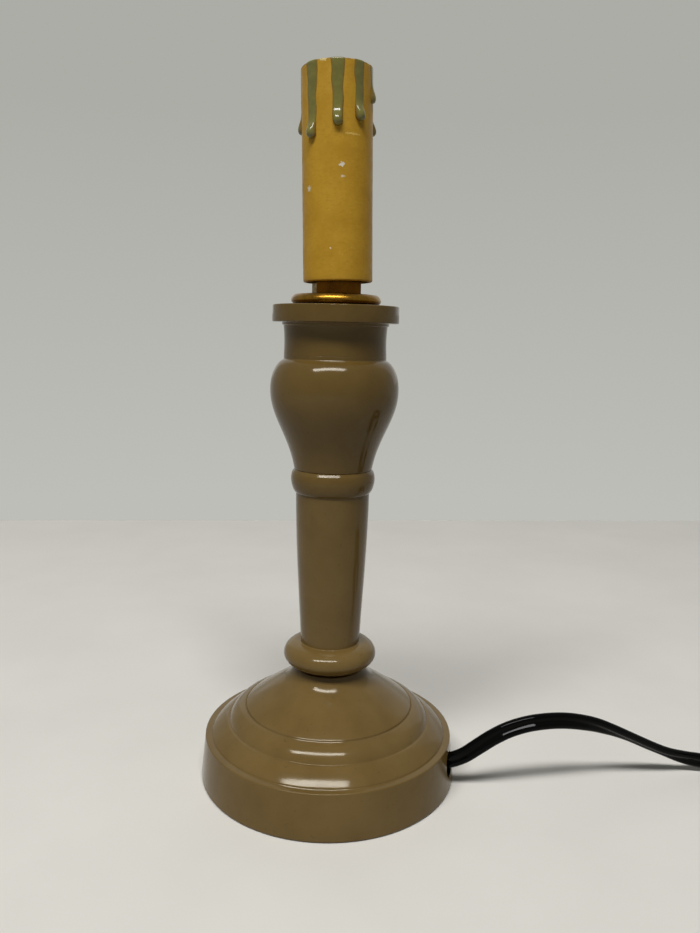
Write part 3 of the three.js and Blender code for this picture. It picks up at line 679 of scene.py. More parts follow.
def make_candle_paint():
    """Mustard paint on card: mottled, stained along the rim, with pale chips, a crease and a
    painted highlight on the rim.
    """
    material, tree, shader = finish_of("mustard_paint", Specular_IOR_Level=0.2)
    clouds = spread(grain(tree, 7, detail=4), 0, 1, start=0.38, end=0.62)
    tone = blend(clouds, linear(175, 133, 38), linear(185, 143, 44))
    fibres = grain(tree, 1.4, detail=4, vector=stretched(tree, (1, 1, 2.2)))
    streaks = spread(fibres, 0, 0.5, start=0.5, end=0.72)
    tone = blend(streaks, tone, linear(164, 122, 28))
    pale = spread(grain(tree, 0.8, detail=4), 0, 0.3, start=0.6, end=0.75)
    tone = blend(pale, tone, linear(208, 172, 84))
    upward = LEANING.to_3x3() @ Vector((0, 0, 1))
    rim = upward.dot(LEANING @ Vector((0, 0, SLEEVE_TOP)))
    height = vector_maths("DOT_PRODUCT", position(tree), upward)["Value"]
    rim_band = spread(height, 0, 0.9, *[(rim - below) * MM for below in RIM_STAIN])
    stain = maths("MULTIPLY", rim_band, spread(grain(tree, 3), 0.1, 1))
    tone = blend(stain, tone, linear(74, 60, 24))
    ragged = maths("MULTIPLY", spread(grain(tree, 0.5), -1, 1), MARK_RAGGED)
    # The chips, the crease and the painted highlight on the rim
    for bearing, height, half_width, half_height, shade in CHIPS_AND_RIM_HIGHLIGHT:
        place = LEANING @ on_sleeve(bearing, height) * MM
        across = turn(-bearing, "Z").to_euler()
        size = (half_width * MM, half_width * MM, half_height * MM)
        away = vector_maths("SUBTRACT", position(tree), place)["Vector"]
        flat = node(tree, "ShaderNodeMapping", {"Vector": away, "Rotation": across}).outputs[0]
        local = vector_maths("DIVIDE", flat, size)["Vector"]
        far = vector_maths("LENGTH", local)["Value"]
        inside = spread(maths("ADD", far, ragged), 1, 0, *MARK_EDGE)
        tone = blend(inside, tone, linear(*shade))
    feed(shader, Base_Color=tone, Roughness=spread(grain(tree, 3), 0.36, 0.52))
    dents = relief(shader, grain(tree, 2.4, detail=2), depth=0.05)
    relief(shader, grain(tree, 0.5, detail=2), depth=0.012, normal=dents)
    return material


def make_wax():
    """Olive gloss drips that thin out to brown along their edges."""
    material, tree, shader = finish_of("olive_wax", Roughness=0.12, Specular_IOR_Level=0.4)
    edge = node(tree, "ShaderNodeAttribute", attribute_name="edge").outputs["Fac"]
    clouds = spread(grain(tree, 2.5), 0, 1)
    tone = blend(clouds, linear(106, 102, 46), linear(118, 113, 52))
    ragged = maths("ADD", edge, spread(grain(tree, 0.9), -0.18, 0.18))
    thin = spread(ragged, 0, 0.85, start=0.62, end=1)
    feed(shader, Base_Color=blend(thin, tone, linear(122, 92, 34)))
    relief(shader, grain(tree, 1.4, detail=2), depth=0.03)
    return material


def make_paper():
    """Kraft paper with fibres and a wound seam."""
    material, tree, shader = finish_of("kraft_paper", Roughness=0.85)
    fibres = spread(grain(tree, 0.9, detail=4, vector=stretched(tree, (1, 1, 0.35))), 0, 1)
    winding = {"Vector": stretched(tree, (1, 1, 2.2)), "Scale": 16, "Distortion": 0.4}
    seam = node(tree, "ShaderNodeTexWave", winding, bands_direction="DIAGONAL").outputs[0]
    tone = blend(fibres, linear(150, 118, 78), linear(172, 140, 98))
    shadow = spread(seam, 0, 0.5, start=0.93, end=0.99)
    feed(shader, Base_Color=blend(shadow, tone, linear(104, 78, 50)))
    relief(shader, fibres, depth=0.03)
    return material


PAINT = make_paint()
BRASS = make_metal("polished_brass", linear(146, 108, 36), linear(122, 88, 28),
                   roughness=0.28, line=1.2)
# The nut's brass: aged, and darkened further as painted shade under the sleeve
AGED_SHADED_BRASS = make_metal("aged_shaded_brass", linear(94, 58, 14), linear(78, 47, 12),
                  roughness=0.3, line=1.2, Specular_Tint=linear(205, 198, 176))
STEEL = make_metal("plated_steel", linear(176, 174, 168), linear(146, 144, 140),
                   roughness=0.3, line=1)
FELT = make_plain("green_felt", linear(40, 56, 44), linear(54, 70, 56),
                  cloud=3, roughness=0.95, mark=0.35, depth=0.1, Sheen_Weight=0.3)
CANDLE = make_candle_paint()
WAX = make_wax()
PAPER = make_paper()
PHENOLIC = make_plain("brown_phenolic", linear(62, 46, 36), linear(78, 58, 44),
                      cloud=5, roughness=0.45, mark=0.6, depth=0.01)
VINYL = make_plain("black_vinyl", linear(2, 2, 2), linear(4, 4, 4),
                   cloud=9, roughness=0.06, mark=1.2, depth=0.003, Specular_IOR_Level=0.08)
PLASTIC = make_plain("black_plastic", linear(14, 14, 14), linear(20, 20, 19),
                     cloud=6, roughness=0.36, mark=0.35, depth=0.012, Specular_IOR_Level=0.2)


# Camera

def make_camera():
    """The photograph's viewing angle."""
    data = bpy.data.cameras.new("camera")
    data.sensor_width = SENSOR
    data.lens = FOCAL_PIXELS * SENSOR / PICTURE_HEIGHT
    data.clip_start = CAMERA_CLIP * MM
    camera = bpy.data.objects.new("camera", data)
    aim = turn(90 - CAMERA_PITCH, "X") @ turn(CAMERA_ROLL, "Z")
    camera.matrix_world = Matrix.Translation(Vector(CAMERA_PLACE) * MM) @ aim
    bpy.context.collection.objects.link(camera)
    bpy.context.scene.camera = camera


make_camera()


# Cord

def coil_points():
    """The wound part: inward on the table, up over its own inner turn, and outward on top."""
    points = []
    inward = (COIL_OUTER - COIL_INNER) / COIL_PITCH * 360
    total = inward + COIL_CLIMB + COIL_OUTWARD
    count = round(total / COIL_STEP)
    for i in range(count + 1):
        wound = total * i / count
        radius = max(COIL_INNER, COIL_OUTER - COIL_PITCH * wound / 360)
        radius += max(0, wound - inward - COIL_CLIMB) * COIL_PITCH / 360
        climbed = smooth(inward, inward + COIL_CLIMB, wound)
        height = COIL_LOWER + (COIL_UPPER - COIL_LOWER) * climbed
        a = radians(COIL_ENTRY + wound)
        x, y = radius * cos(a), radius * sin(a)
        points.append((COIL_CENTER[0] + x, COIL_CENTER[1] + y, height))
    return points


def spline(points, step):
    """A smooth line through points, with samples about a step apart."""
    knots = [Vector(p) for p in points]
    line = []
    for i in range(len(knots) - 1):
        a, b = knots[i], knots[i + 1]
        before = knots[max(0, i - 1)]
        after = knots[min(len(knots) - 1, i + 2)]
        slope_a, slope_b = (b - before) / 2, (after - a) / 2
        count = max(1, round((b - a).length / step))
        for k in range(count):
            t = k / count
            line.append(a * (2 * t ** 3 - 3 * t * t + 1) + slope_a * (t ** 3 - 2 * t * t + t)
                        + b * (3 * t * t - 2 * t ** 3) + slope_b * (t ** 3 - t * t))
    return line + [knots[-1]]


def cord_section():
    """The flat cord's outline: two cores and the web between them, as width and thickness."""
    offset = CORD_WIDTH / 2 - CORD_CORE
    reach = 180 - math.degrees(math.asin(CORD_WEB / CORD_CORE))
    right = arc((offset, 0), (CORD_CORE, CORD_CORE), -reach, reach, steps=10)
    return right + [(-x, -y) for x, y in right]


def cord_twist(x):
    """The turn of the cord about its own line, which changes on the way from the hole."""
    twist = 0
    for (start, first), (end, last) in zip(CORD_TWISTS, CORD_TWISTS[1:]):
        if x > start:
            twist = first + (last - first) * smooth(start, end, x)
    return twist


def make_cord():
    """The free cord from the hole to the plug, upright on its narrow side."""
    line = spline(CORD_RUN + tuple(coil_points()) + CORD_TAIL, CORD_STEP)
    section = cord_section()
    rings = []
    for i, center in enumerate(line):
        along = (line[min(i + 1, len(line) - 1)] - line[max(i - 1, 0)]).normalized()
        side = along.cross(Vector((0, 0, 1))).normalized()
        side = Matrix.Rotation(radians(cord_twist(center.x)), 3, along) @ side
        up = side.cross(along)
        rings.append([center + up * w + side * n for w, n in section])
    made = piece("cord", *skin(rings), VINYL, sharp=60)
    fasten(made, "root", "cord_vinyl", "cord_run", "cord_coil", "cord_tail")
    return made, [p * MM for p in line]


cord, cord_line = make_cord()


# Tie, switch and plug on the cord

def make_tie():
    """A flat strap round the coil's turns."""
    across = COIL_RADIUS - COIL_BORE + 2 * TIE_GAP + TIE_THICKNESS
    tall = COIL_HEIGHT + 2 * TIE_GAP + TIE_THICKNESS
    path = rounded_rectangle(across, tall, TIE_CORNER)
    middle = (COIL_BORE + COIL_RADIUS) / 2
    height = COIL_FOOT + COIL_HEIGHT / 2
    thin, wide = TIE_THICKNESS / 2, TIE_WIDTH / 2
    section = eased([(-thin, -wide), (thin, -wide), (thin, wide), (-thin, wide)], TIE_EASE)
    rings = []
    for i, (x, z) in enumerate(path):
        ahead = Vector(path[(i + 1) % len(path)]) - Vector(path[i - 1])
        out = Vector((ahead.y, -ahead.x)).normalized()
        rings.append([(middle + x + out.x * n, w, height + z + out.y * n) for n, w in section])
    place = Matrix.Translation((*COIL_CENTER, 0)) @ turn(TIE_BEARING, "Z")
    strap = piece("tie_strap", *skin(rings, closed=True), PLASTIC, place)
    return fasten(strap, "root", "hard_plastic", "coil_tie")


def switch_outline(inset):
    """The switch's outline in plan, drawn in by that much."""
    return rounded_rectangle(SWITCH_LENGTH - 2 * inset, SWITCH_WIDTH - 2 * inset,
                             SWITCH_CORNER - inset, steps=10)


def switch_levels(foot, top, foot_edge, top_edge):
    """Levels of a switch half, rounded at its foot and its top."""
    quarter = [radians(90 * i / SWITCH_EDGE_STEPS) for i in range(SWITCH_EDGE_STEPS + 1)]
    rounding = [(1 - sin(a), 1 - cos(a)) for a in quarter]
    lower = [(foot + foot_edge * up, switch_outline(foot_edge * inset)) for up, inset in rounding]
    upper = [(top - top_edge * down, switch_outline(top_edge * inset)) for down, inset in rounding]
    return lower[::-1] + upper


def wheel_outline(radius):
    """The thumb wheel's ridged edge."""
    count = WHEEL_RIDGES * WHEEL_RIDGE_POINTS
    points = []
    for i in range(count):
        a = TURN * i / count
        r = radius - WHEEL_RIDGE * (0.5 - 0.5 * cos(WHEEL_RIDGES * a)) ** 2
        points.append((r * cos(a), r * sin(a)))
    return points


def make_switch():
    """Two moulded halves, a screw and a ridged thumb wheel."""
    place = Matrix.Translation((*SWITCH_CENTER, 0)) @ turn(SWITCH_HEADING, "Z")
    levels = switch_levels(0, SWITCH_SPLIT, SWITCH_EDGE, SWITCH_GAP)
    lower = slab("switch_lower", levels, PLASTIC, place)
    levels = switch_levels(SWITCH_SPLIT + SWITCH_GAP, SWITCH_HEIGHT, SWITCH_GAP, SWITCH_EDGE)
    upper = slab("switch_upper", levels, PLASTIC, place)
    channel = rounded_rectangle(SWITCH_LENGTH + 2 * CHANNEL_PAST, CHANNEL_WIDTH,
                                CHANNEL_CORNER, steps=2)
    levels = [(CHANNEL_FLOOR, channel), (SWITCH_HEIGHT / 2 + CUT_PAST, channel)]
    cut(lower, slab("channel", levels, PLASTIC, place))
    axle = place @ Matrix.Translation((0, WHEEL_OFFSET, 0))
    room = tube_outline(0, WHEEL_RADIUS + WHEEL_ROOM,
                        WHEEL_FOOT - WHEEL_ROOM, WHEEL_TOP + WHEEL_ROOM)
    cut(upper, turned("wheel_room", room, PLASTIC, axle, SMALL_SEGMENTS * 2))
    seat = place @ Matrix.Translation((*SCREW, 0))
    radius, foot, top = SCREW_RADIUS, SCREW_FOOT, SCREW_TOP
    well = tube_outline(0, radius + SWITCH_GAP, foot - SWITCH_GAP, SWITCH_HEIGHT + CUT_PAST)
    cut(upper, turned("screw_well", well, PLASTIC, seat, SMALL_SEGMENTS))
    head = eased(tube_outline(0, radius, foot, top), SCREW_EASE)
    screw = turned("switch_screw_head", head, STEEL, seat, SMALL_SEGMENTS)
    slot = rounded_rectangle(radius * 3, SCREW_SLOT_WIDTH, SCREW_SLOT_CORNER, steps=1)
    levels = [(top - SCREW_SLOT_DEPTH, slot), (SWITCH_HEIGHT, slot)]
    cut(screw, slab("slot", levels, STEEL, seat @ turn(SCREW_SLOT_TURN, "Z")))
    full, drawn_in = wheel_outline(WHEEL_RADIUS), wheel_outline(WHEEL_RADIUS - WHEEL_EDGE)
    levels = [(WHEEL_FOOT, drawn_in), (WHEEL_FOOT + WHEEL_EDGE, full),
              (WHEEL_TOP - WHEEL_EDGE, full), (WHEEL_TOP, drawn_in)]
    wheel = slab("thumb_wheel", levels, PLASTIC, axle, sharp=30)
    fasten(lower, "root", "hard_plastic", "switch_lower_half")
    fasten(upper, "root", "hard_plastic", "switch_upper_half")
    fasten(screw, "root", "plated_steel", "switch_screw")
    fasten(wheel, "wheel", "hard_plastic", "switch_wheel")
    return [lower, upper, screw, wheel]


def plug_section(along):
    """Width and height of the plug at a distance from its back."""
    grown = smooth(0, PLUG_SHOULDER, along)
    width = PLUG_NECK + (PLUG_WIDTH - PLUG_NECK) * grown
    height = PLUG_NECK_HEIGHT + (PLUG_HEIGHT - PLUG_NECK_HEIGHT) * grown
    first, last, count = PLUG_RIBS
    if first < along < last:
        width -= PLUG_RIB * (1 - cos(TURN * count * (along - first) / (last - first)))
    near = PLUG_LENGTH - along
    if near < PLUG_EDGE:
        drawn = 2 * (PLUG_EDGE - math.sqrt(PLUG_EDGE ** 2 - (PLUG_EDGE - near) ** 2))
        width, height = width - drawn, height - drawn
    return width, height


def make_plug():
    """A moulded plug with grip ribs and two blades."""
    stations = [PLUG_STEP * i for i in range(PLUG_STATIONS)]
    quarter = [radians(90 * i / PLUG_EDGE_STEPS) for i in range(PLUG_EDGE_STEPS + 1)]
    stations += [PLUG_LENGTH - PLUG_EDGE * (1 - sin(a)) for a in quarter]
    rings = []
    for along in sorted(stations):
        width, height = plug_section(along)
        corner = min(PLUG_ROUND, PLUG_ROUND_SHARE * height)
        ring = rounded_rectangle(width, height, corner, steps=5)
        rings.append([(PLUG_BACK - along, PLUG_SIDE + y, PLUG_HEIGHT / 2 + z) for y, z in ring])
    body = fasten(piece("plug_shell", *skin(rings), VINYL), "root", "cord_vinyl", "plug_body")
    made = [body]
    start = PLUG_BACK - PLUG_LENGTH - BLADE_GAP
    tip = start - BLADE_LENGTH
    middle = (start + tip) / 2
    half, end, thin = BLADE_WIDTH / 2, BLADE_WIDTH / 2 * BLADE_TIP_WIDTH, BLADE_THICKNESS / 2
    outline = eased([(start, -half), (start, half), (tip + BLADE_TIP, half), (tip, end),
                     (tip, -end), (tip + BLADE_TIP, -half)], BLADE_CORNER)
    shorter, narrower = (1 - BLADE_EDGE / share for share in BLADE_EDGE_SHRINKS)
    inner = [(middle + (x - middle) * shorter, y * narrower) for x, y in outline]
    levels = [(-thin, inner), (-thin + BLADE_EDGE, outline),
              (thin - BLADE_EDGE, outline), (thin, inner)]
    hole = tube_outline(0, BLADE_HOLE, -BLADE_WIDTH, BLADE_WIDTH)
    for name, side in (("plug_blade_live", -1), ("plug_blade_neutral", 1)):
        spot = (0, PLUG_SIDE + side * BLADE_SPACING / 2, PLUG_HEIGHT / 2)
        place = Matrix.Translation(spot) @ turn(90, "X")
        blade = slab(name.replace("plug_", ""), levels, BRASS, place)
        drill = place @ Matrix.Translation((tip + BLADE_HOLE_PLACE, 0, 0))
        cut(blade, turned("hole", hole, BRASS, drill, SMALL_SEGMENTS))
        made.append(fasten(blade, "root", "brass", name))
    return made


on_cord = [make_tie()] + make_switch() + make_plug()


# Base and column

def make_base():
    """The stepped base with its cord hole, and the felt under it."""
    outline = [(FELT_SEAT, 0), (BASE_RADIUS - BASE_FOOT_EASE, 0), (BASE_RADIUS, BASE_FOOT_EASE),
               (RIM_RADIUS, WALL_TOP)]
    outline += fillet((QUIRK_RADIUS + QUIRK_FILLET, LEDGE_END),
                      (QUIRK_RADIUS, LEDGE_END + QUIRK_FILLET))
    outline += bow((LOWER_OVOLO_RADIUS, LOWER_OVOLO_FOOT), (LOWER_OVOLO_INNER, LOWER_OVOLO_TOP),
                   LOWER_OVOLO_BULGE)
    outline += bow((UPPER_OVOLO_RADIUS, LOWER_OVOLO_TOP), (UPPER_OVOLO_INNER, UPPER_OVOLO_TOP),
                   UPPER_OVOLO_BULGE)
    outline += fillet((GROOVE_RADIUS + GROOVE_FILLET, GROOVE_FOOT),
                      (GROOVE_RADIUS, GROOVE_FOOT + GROOVE_FILLET))
    outline += fillet((DOME_RADIUS + DOME_LIP, DOME_FOOT - DOME_LIP), (DOME_RADIUS, DOME_FOOT))[:-1]
    outline += bow((DOME_RADIUS, DOME_FOOT), (COVE_RADIUS, DOME_TOP), DOME_BULGE)
    outline += bezier((COVE_RADIUS, DOME_TOP),
                      (COVE_RADIUS - COVE_FOOT[0], DOME_TOP + COVE_FOOT[1]),
                      (BASE_NECK + COVE_HEAD[0], BASE_TOP - COVE_HEAD[1]),
                      (BASE_NECK, BASE_TOP))[1:]
    outline += [(TENON_HOLE, BASE_TOP), (TENON_HOLE, TENON_FLOOR), (PIPE_HOLE, TENON_FLOOR),
                (PIPE_HOLE, NUT_WELL_TOP), (NUT_WELL, NUT_WELL_TOP), (NUT_WELL, BASE_RECESS_TOP),
                (BASE_RECESS, BASE_RECESS_TOP), (BASE_RECESS, FELT_SEAT_DEPTH),
                (FELT_SEAT, FELT_SEAT_DEPTH)]
    base = turned("base_turning", eased(outline, PAINT_EASE), PAINT)
    aim = turn(CORD_HOLE_BEARING, "Z") @ turn(90, "Y")
    drill = Matrix.Translation((0, 0, CORD_HOLE_HEIGHT)) @ aim
    hole = tube_outline(0, CORD_HOLE_RADIUS, *CORD_HOLE_REACH)
    cut(base, turned("drill", hole, PAINT, drill, SMALL_SEGMENTS))
    fasten(base, "root", "painted_wood", "base")
    pad = eased(tube_outline(0, FELT_RADIUS, 0, FELT_THICKNESS), FELT_EASE)
    fasten(turned("felt_disc", pad, FELT), "root", "felt", "felt_pad")


def make_column():
    """One turning: tenon, bun, shaft, bead, vase, neck and flange."""
    outline = [(PIPE_HOLE, TENON_FOOT), (TENON_RADIUS, TENON_FOOT), (TENON_RADIUS, COLUMN_FOOT),
               (FOOT_NECK, COLUMN_FOOT)]
    bun, bead = (BUN_CORE, BUN_MIDDLE), (BEAD_CORE, BEAD_MIDDLE)
    outline += arc(bun, (BUN_ROUND, BUN_LOWER), BUN_START, 0, FINE_STEPS)
    outline += arc(bun, (BUN_ROUND, BUN_TOP - BUN_MIDDLE), 0, 90, FINE_STEPS)[1:]
    third = (BEAD_FOOT - BUN_TOP) / 3
    outline += bezier((SHAFT_FOOT, BUN_TOP), (SHAFT_FOOT + SHAFT_LOWER_PULL, BUN_TOP + third),
                      (SHAFT_HEAD + SHAFT_UPPER_PULL, BEAD_FOOT - third),
                      (SHAFT_HEAD, BEAD_FOOT), FINE_STEPS)
    outline += arc(bead, (BEAD_ROUND, BEAD_MIDDLE - BEAD_FOOT), -90, 0, power=BEAD_LEANNESS)
    spans = (BEAD_ROUND, BEAD_TOP - BEAD_MIDDLE)
    rise, crown = arc(bead, spans, 0, BEAD_FLAT[0]), arc(bead, spans, BEAD_FLAT[1], BEAD_END)
    outline += rise[1:-1] + fillet(rise[-1], crown[0]) + crown[1:]
    outline += bezier((VASE_FOOT, BEAD_TOP),
                      (VASE_FOOT + VASE_LOWER_PULL[0], BEAD_TOP + VASE_LOWER_PULL[1]),
                      (VASE_BELLY, VASE_BELLY_HEIGHT - VASE_UPPER_PULL),
                      (VASE_BELLY, VASE_BELLY_HEIGHT), FINE_STEPS)
    outline += arc((VASE_BELLY - SHOULDER_ROUND, VASE_BELLY_HEIGHT),
                   (SHOULDER_ROUND, SHOULDER_SPAN), 0, SHOULDER_END, FINE_STEPS)[1:]
    foot, start = outline[-1][0] - SHOULDER_FILLET[0], outline[-1][1] + SHOULDER_FILLET[1]
    outline += fillet(outline[-1], (foot, start))[1:]
    line = start + NECK_LINE
    outline += [(foot, line - NECK_LINE_DEPTH), (foot - NECK_LINE_DEPTH, line)]
    low, high = line + NECK_LINE_DEPTH, FLANGE_FOOT - NECK_RING_HEIGHT
    third = (high - low) / 3
    outline += bezier((foot, low), (foot - NECK_HOLLOW, low + third),
                      (foot - NECK_HOLLOW, high - third), (NECK_HEAD, high))
    outline += [(NECK_RING, high), (NECK_RING, FLANGE_FOOT), (FLANGE_RADIUS, FLANGE_FOOT),
                (FLANGE_RADIUS, FLANGE_TOP), (PIPE_HOLE, FLANGE_TOP)]
    column = turned("column_turning", eased(outline, PAINT_EASE), PAINT)
    fasten(column, "root", "painted_wood", "column")


def make_disc_and_nut():
    """The polished brass disc and the hexagon nut on it."""
    center = (DISC_RADIUS - DISC_ROUND, DISC_MIDDLE)
    outline = [(PIPE_HOLE, DISC_FOOT)] + arc(center, (DISC_ROUND, DISC_MIDDLE - DISC_FOOT), -90, 0)
    outline += arc(center, (DISC_ROUND, DISC_TOP - DISC_CROWN - DISC_MIDDLE), 0, 90,
                   power=DISC_LEANNESS)[1:]
    outline += [(PIPE_HOLE, DISC_TOP)]
    fasten(turned("brass_disc", outline, BRASS), "root", "brass", "check_ring")
    steps = NUT_CHAMFER_STEPS
    half = NUT_FACET / 2
    widest = NUT_FLATS / 2 / cos(radians(half))
    chamfer = widest - NUT_CHAMFER_RADIUS
    levels = [(NUT_FOOT, 1)]
    levels += [(NUT_TOP - NUT_CHAMFER * i / steps, i / steps) for i in reversed(range(steps + 1))]
    rings = []
    for i in range(ROUND_SEGMENTS):
        bearing = 360 * i / ROUND_SEGMENTS
        flat = (bearing - NUT_TURN + half) % NUT_FACET - half
        reach = NUT_FLATS / 2 / cos(radians(flat))
        c, s = cos(radians(bearing)), sin(radians(bearing))
        ring = [(PIPE_HOLE, NUT_FOOT)]
        ring += [(min(reach, NUT_CHAMFER_RADIUS + chamfer * grown), z) for z, grown in levels]
        ring += [(PIPE_HOLE, NUT_TOP)]
        rings.append([(r * c, r * s, z) for r, z in ring])
    nut = piece("brass_nut", *skin(rings, closed=True), AGED_SHADED_BRASS, sharp=20)
    fasten(nut, "root", "brass", "hex_nut")


make_base()
make_column()
make_disc_and_nut()


# Candle

def make_sleeve():
    """The candle's card sleeve, with small dents and soft edges."""
    rim, foot, rows = SLEEVE_RIM, SLEEVE_FOOT_ROUND, SLEEVE_ROWS
    low, high = SLEEVE_FOOT + foot, SLEEVE_TOP - rim
    outline = arc((SLEEVE_RADIUS - foot, low), (foot, foot), -90, 0, steps=6)
    outline += [(SLEEVE_RADIUS, low + (high - low) * i / rows) for i in range(1, rows)]
    outline += arc((SLEEVE_RADIUS - rim, high), (rim, rim), 0, 180, steps=12)
    outline += [(SLEEVE_BORE, SLEEVE_FOOT + SLEEVE_BORE_FOOT)]
    rings = []
    for i in range(ROUND_SEGMENTS):
        a = TURN * i / ROUND_SEGMENTS
        ring = []
        for r, z in outline:
            p = Vector((cos(a) * r, sin(a) * r, z))
            dent = SLEEVE_DENTS * noise.noise(p * SLEEVE_DENT_SCALE) if r > SLEEVE_BORE + rim else 0
            ring.append(((r + dent) * cos(a), (r + dent) * sin(a), z))
        rings.append(ring)
    made = piece("candle_sleeve", *skin(rings, closed=True), CANDLE, LEANING)
    fasten(made, "cover", "candle_paint", "candle_cover")


def wax_path(length):
    """Stations over the rim and down the sleeve: way walked, place and outward direction."""
    stations = []
    r, z = SLEEVE_RADIUS - SLEEVE_RIM, SLEEVE_TOP - SLEEVE_RIM
    for i in range(WAX_RIM_STEPS + 1):
        passed = WAX_OVER_RIM * i / WAX_RIM_STEPS
        a = radians(WAX_OVER_RIM - passed)
        out = (cos(a), sin(a))
        walked = radians(passed) * SLEEVE_RIM
        stations.append((walked, r + SLEEVE_RIM * out[0], z + SLEEVE_RIM * out[1], out))
    start = stations[-1][0]
    count = round((length - SLEEVE_RIM) / WAX_STEP)
    for i in range(1, count + 1):
        down = (length - SLEEVE_RIM) * i / count
        stations.append((start + down, SLEEVE_RADIUS, z - down, (1, 0)))
    return stations


def wave(shape, walked, index):
    """A small wave along a wax run, from its height, its pace and its shift from run to run."""
    return shape[0] * sin(walked * shape[1] + index * shape[2])


def make_wax_run(index, bearing, length, top, middle, drop, drop_height):
    """One drip: a thin band from over the rim that swells to a hanging drop."""
    stations = wax_path(length)
    total = stations[-1][0]
    neck = total - WAX_CLOSING
    rings, edges = [], []
    for walked, r, z, out in stations:
        narrow = smooth(0, length * WAX_NARROWS, walked)
        swell = math.exp(-(max(0, neck - walked) / WAX_SWELL) ** 2)
        closing = max(0, walked - neck) / WAX_CLOSING
        round_off = math.sqrt(max(WAX_TIP, 1 - closing ** 2))
        sway = wave(WAX_SWAY, walked, index)
        half = (top + (middle - top) * narrow) * (1 + wave(WAX_WAVER, walked, index))
        half = (half + (drop - half) * swell) * round_off
        thick = WAX_BAND * smooth(*WAX_START, walked) + (drop_height - WAX_BAND) * swell
        thick *= round_off
        power = WAX_BAND_POWER + (WAX_DROP_POWER - WAX_BAND_POWER) * swell
        ring = []
        for j in range(WAX_ACROSS):
            u = sin(radians(180 * j / (WAX_ACROSS - 1) - 90))
            lift = thick * math.sqrt(max(0, 1 - abs(u) ** power)) - WAX_SINK * (abs(u) > WAX_SEAM)
            ring.append((r + out[0] * lift, z + out[1] * lift, u))
        ring += [(r - out[0] * WAX_SINK, z - out[1] * WAX_SINK, u) for u in WAX_UNDERSIDE]
        full = []
        for radius, height, u in ring:
            aside = math.degrees((u * half + sway) / SLEEVE_RADIUS)
            full.append(tuple(on_sleeve(bearing + aside, height, radius)))
            edges.append(max(abs(u), closing ** 3))
        rings.append(full)
    name = f"wax_drip_{index}"
    points, faces = skin(rings)
    made = piece(name, points, faces, WAX, LEANING, sharp=70)
    shade = made.data.attributes.new("edge", "FLOAT", "POINT")
    places = [tuple(round(c, WAX_DIGITS) for c in LEANING @ Vector(p)) for p in points]
    nearest = dict(zip(places, edges))
    for vertex, value in zip(made.data.vertices, shade.data):
        value.value = nearest.get(tuple(round(c / MM, WAX_DIGITS) for c in vertex.co), 1.0)
    fasten(made, "cover", "wax", f"wax_run_{index}")


def make_socket():
    """The lamp socket inside the sleeve, with its threaded shell, and the paper liner round it."""
    liner = eased(tube_outline(LINER_BORE, LINER_RADIUS, LINER_FOOT, LINER_TOP), LINER_EASE)
    fasten(turned("paper_liner", liner, PAPER, LEANING), "liner", "paper", "insulating_liner")
    begins = [SHELL_FOOT + d for d in SHELL_THREAD_STARTS]
    ends = [SHELL_LIP_FOOT - d for d in SHELL_THREAD_ENDS]
    bore = SHELL_BORE + SHELL_THREAD
    lip = [(bore, SHELL_TOP), (SHELL_LIP, SHELL_TOP), (SHELL_LIP, SHELL_LIP_FOOT)]
    rings = []
    for i in range(ROUND_SEGMENTS):
        a = TURN * i / ROUND_SEGMENTS
        c, s = cos(a), sin(a)
        inner, outer = [], []
        for k in range(SHELL_ROWS + 1):
            z = SHELL_FOOT + (SHELL_LIP_FOOT - SHELL_FOOT) * k / SHELL_ROWS
            fade = smooth(*begins, z) * (1 - smooth(*ends, z))
            thread = SHELL_THREAD * sin(TURN * z / SHELL_PITCH - a) * fade
            inner.append((bore + thread, z))
            outer.append((SHELL_RADIUS - SHELL_THREAD / 2 + thread, z))
        rings.append([(r * c, r * s, z) for r, z in inner + lip + outer[::-1]])
    shell = piece("threaded_shell", *skin(rings, closed=True), BRASS, LEANING)
    fasten(shell, "root", "brass", "screw_shell")


make_sleeve()
for number, run in enumerate(WAX_RUNS, 1):
    make_wax_run(number, *run)
make_socket()


# CAD nodes that stay
KEPT = {
    STEEL: ("threaded_pipe", "base_washer", "base_lock_nut", "socket_leg",
            "terminal_screw_neutral"),
    BRASS: ("leg_rivet", "terminal_screw_live", "center_contact"),
    VINYL: ("cord_inner", "lead_live", "lead_neutral"),
    PHENOLIC: ("socket_body",),
}
for material, names in KEPT.items():
    for name in names:
        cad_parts[name].material_slots[0].material = material


# Table, light and background

TABLE_BACK = 370
TABLE_SKEW = 0.091
TABLE_FRONT = -1100
TABLE_HALF = 1100
TABLE_THICKNESS = 30
TABLE_PALE = linear(232, 229, 221)
TABLE_CLOUD = linear(228, 225, 217)
TABLE_BOUNCE = linear(180, 178, 172)
WALL_LOW = linear(190, 190, 184)
WALL_HIGH = linear(172, 173, 166)
WALL_RISE = (-0.2, 0.25)
FILL_COLOR = (1, 1, 0.98, 1)
FILL = 0.02
KEY_BAR = dict(place=(-234, -817, 1552), aim=(0, 0, 80), size=(1400, 300), power=30, roll=13)
BACK_PANEL = dict(place=(250, 1900, 1100), aim=(0, 0, 100), size=(3600, 2000), power=6)


def seen_directly(tree):
    """1 for rays from the camera, a mirror or through glass, and 0 for light that spreads on."""
    path = node(tree, "ShaderNodeLightPath")
    seen = maths("MAXIMUM", path.outputs["Is Camera Ray"], path.outputs["Is Glossy Ray"])
    return maths("MAXIMUM", seen, path.outputs["Is Transmission Ray"])


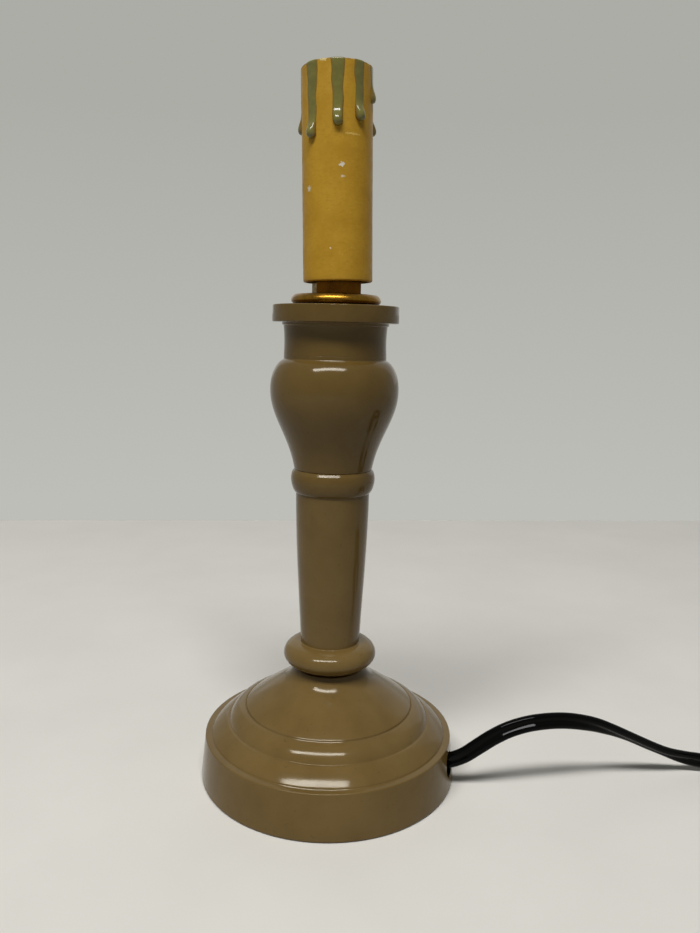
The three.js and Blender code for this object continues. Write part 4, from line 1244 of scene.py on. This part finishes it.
def make_table():
    """A plain pale table top, which throws little light back up."""
    material, tree, shader = finish_of("table", Roughness=0.6)
    clouds = spread(grain(tree, 60), 0, 1)
    pale = blend(clouds, TABLE_PALE, TABLE_CLOUD)
    feed(shader, Base_Color=blend(seen_directly(tree), TABLE_BOUNCE, pale))
    skew = TABLE_HALF * TABLE_SKEW
    outline = [(-TABLE_HALF, TABLE_FRONT), (TABLE_HALF, TABLE_FRONT)]
    outline += [(TABLE_HALF, TABLE_BACK + skew), (-TABLE_HALF, TABLE_BACK - skew)]
    made = slab("table_top", [(-TABLE_THICKNESS, outline), (0, outline)], material)


def make_light(name, place, aim, size, power, roll=0):
    """A soft rectangular light at place, aimed at a point, with its width rolled from level."""
    data = bpy.data.lights.new(name, "AREA")
    data.shape = "RECTANGLE"
    data.size, data.size_y = size[0] * MM, size[1] * MM
    data.energy = power
    lamp = bpy.data.objects.new(name, data)
    away = Vector(aim) - Vector(place)
    lamp.rotation_mode = "QUATERNION"
    level = away.to_track_quat("-Z", "Y")
    lamp.rotation_quaternion = level @ Quaternion((0, 0, 1), radians(roll))
    lamp.location = Vector(place) * MM
    bpy.context.collection.objects.link(lamp)


def make_world():
    """Even fill light, and a plain wall, darker higher up, where one looks past the table."""
    world = bpy.data.worlds.new("studio")
    bpy.context.scene.world = world
    world.use_nodes = True
    tree = world.node_tree
    fill = tree.nodes["Background"]
    feed(fill, Color=FILL_COLOR, Strength=FILL)
    direction = node(tree, "ShaderNodeTexCoord").outputs["Generated"]
    rise = node(tree, "ShaderNodeSeparateXYZ", {0: direction}).outputs["Z"]
    shade = blend(spread(rise, 0, 1, *WALL_RISE), WALL_LOW, WALL_HIGH)
    wall = node(tree, "ShaderNodeBackground", {"Color": shade, "Strength": 1})
    inputs = {0: seen_directly(tree), 1: fill.outputs[0], 2: wall.outputs[0]}
    both = node(tree, "ShaderNodeMixShader", inputs)
    feed(tree.nodes["World Output"], Surface=both.outputs[0])


make_table()
make_world()
make_light("key_bar", **KEY_BAR)
make_light("back_panel", **BACK_PANEL)

bpy.context.scene.view_settings.view_transform = "Standard"
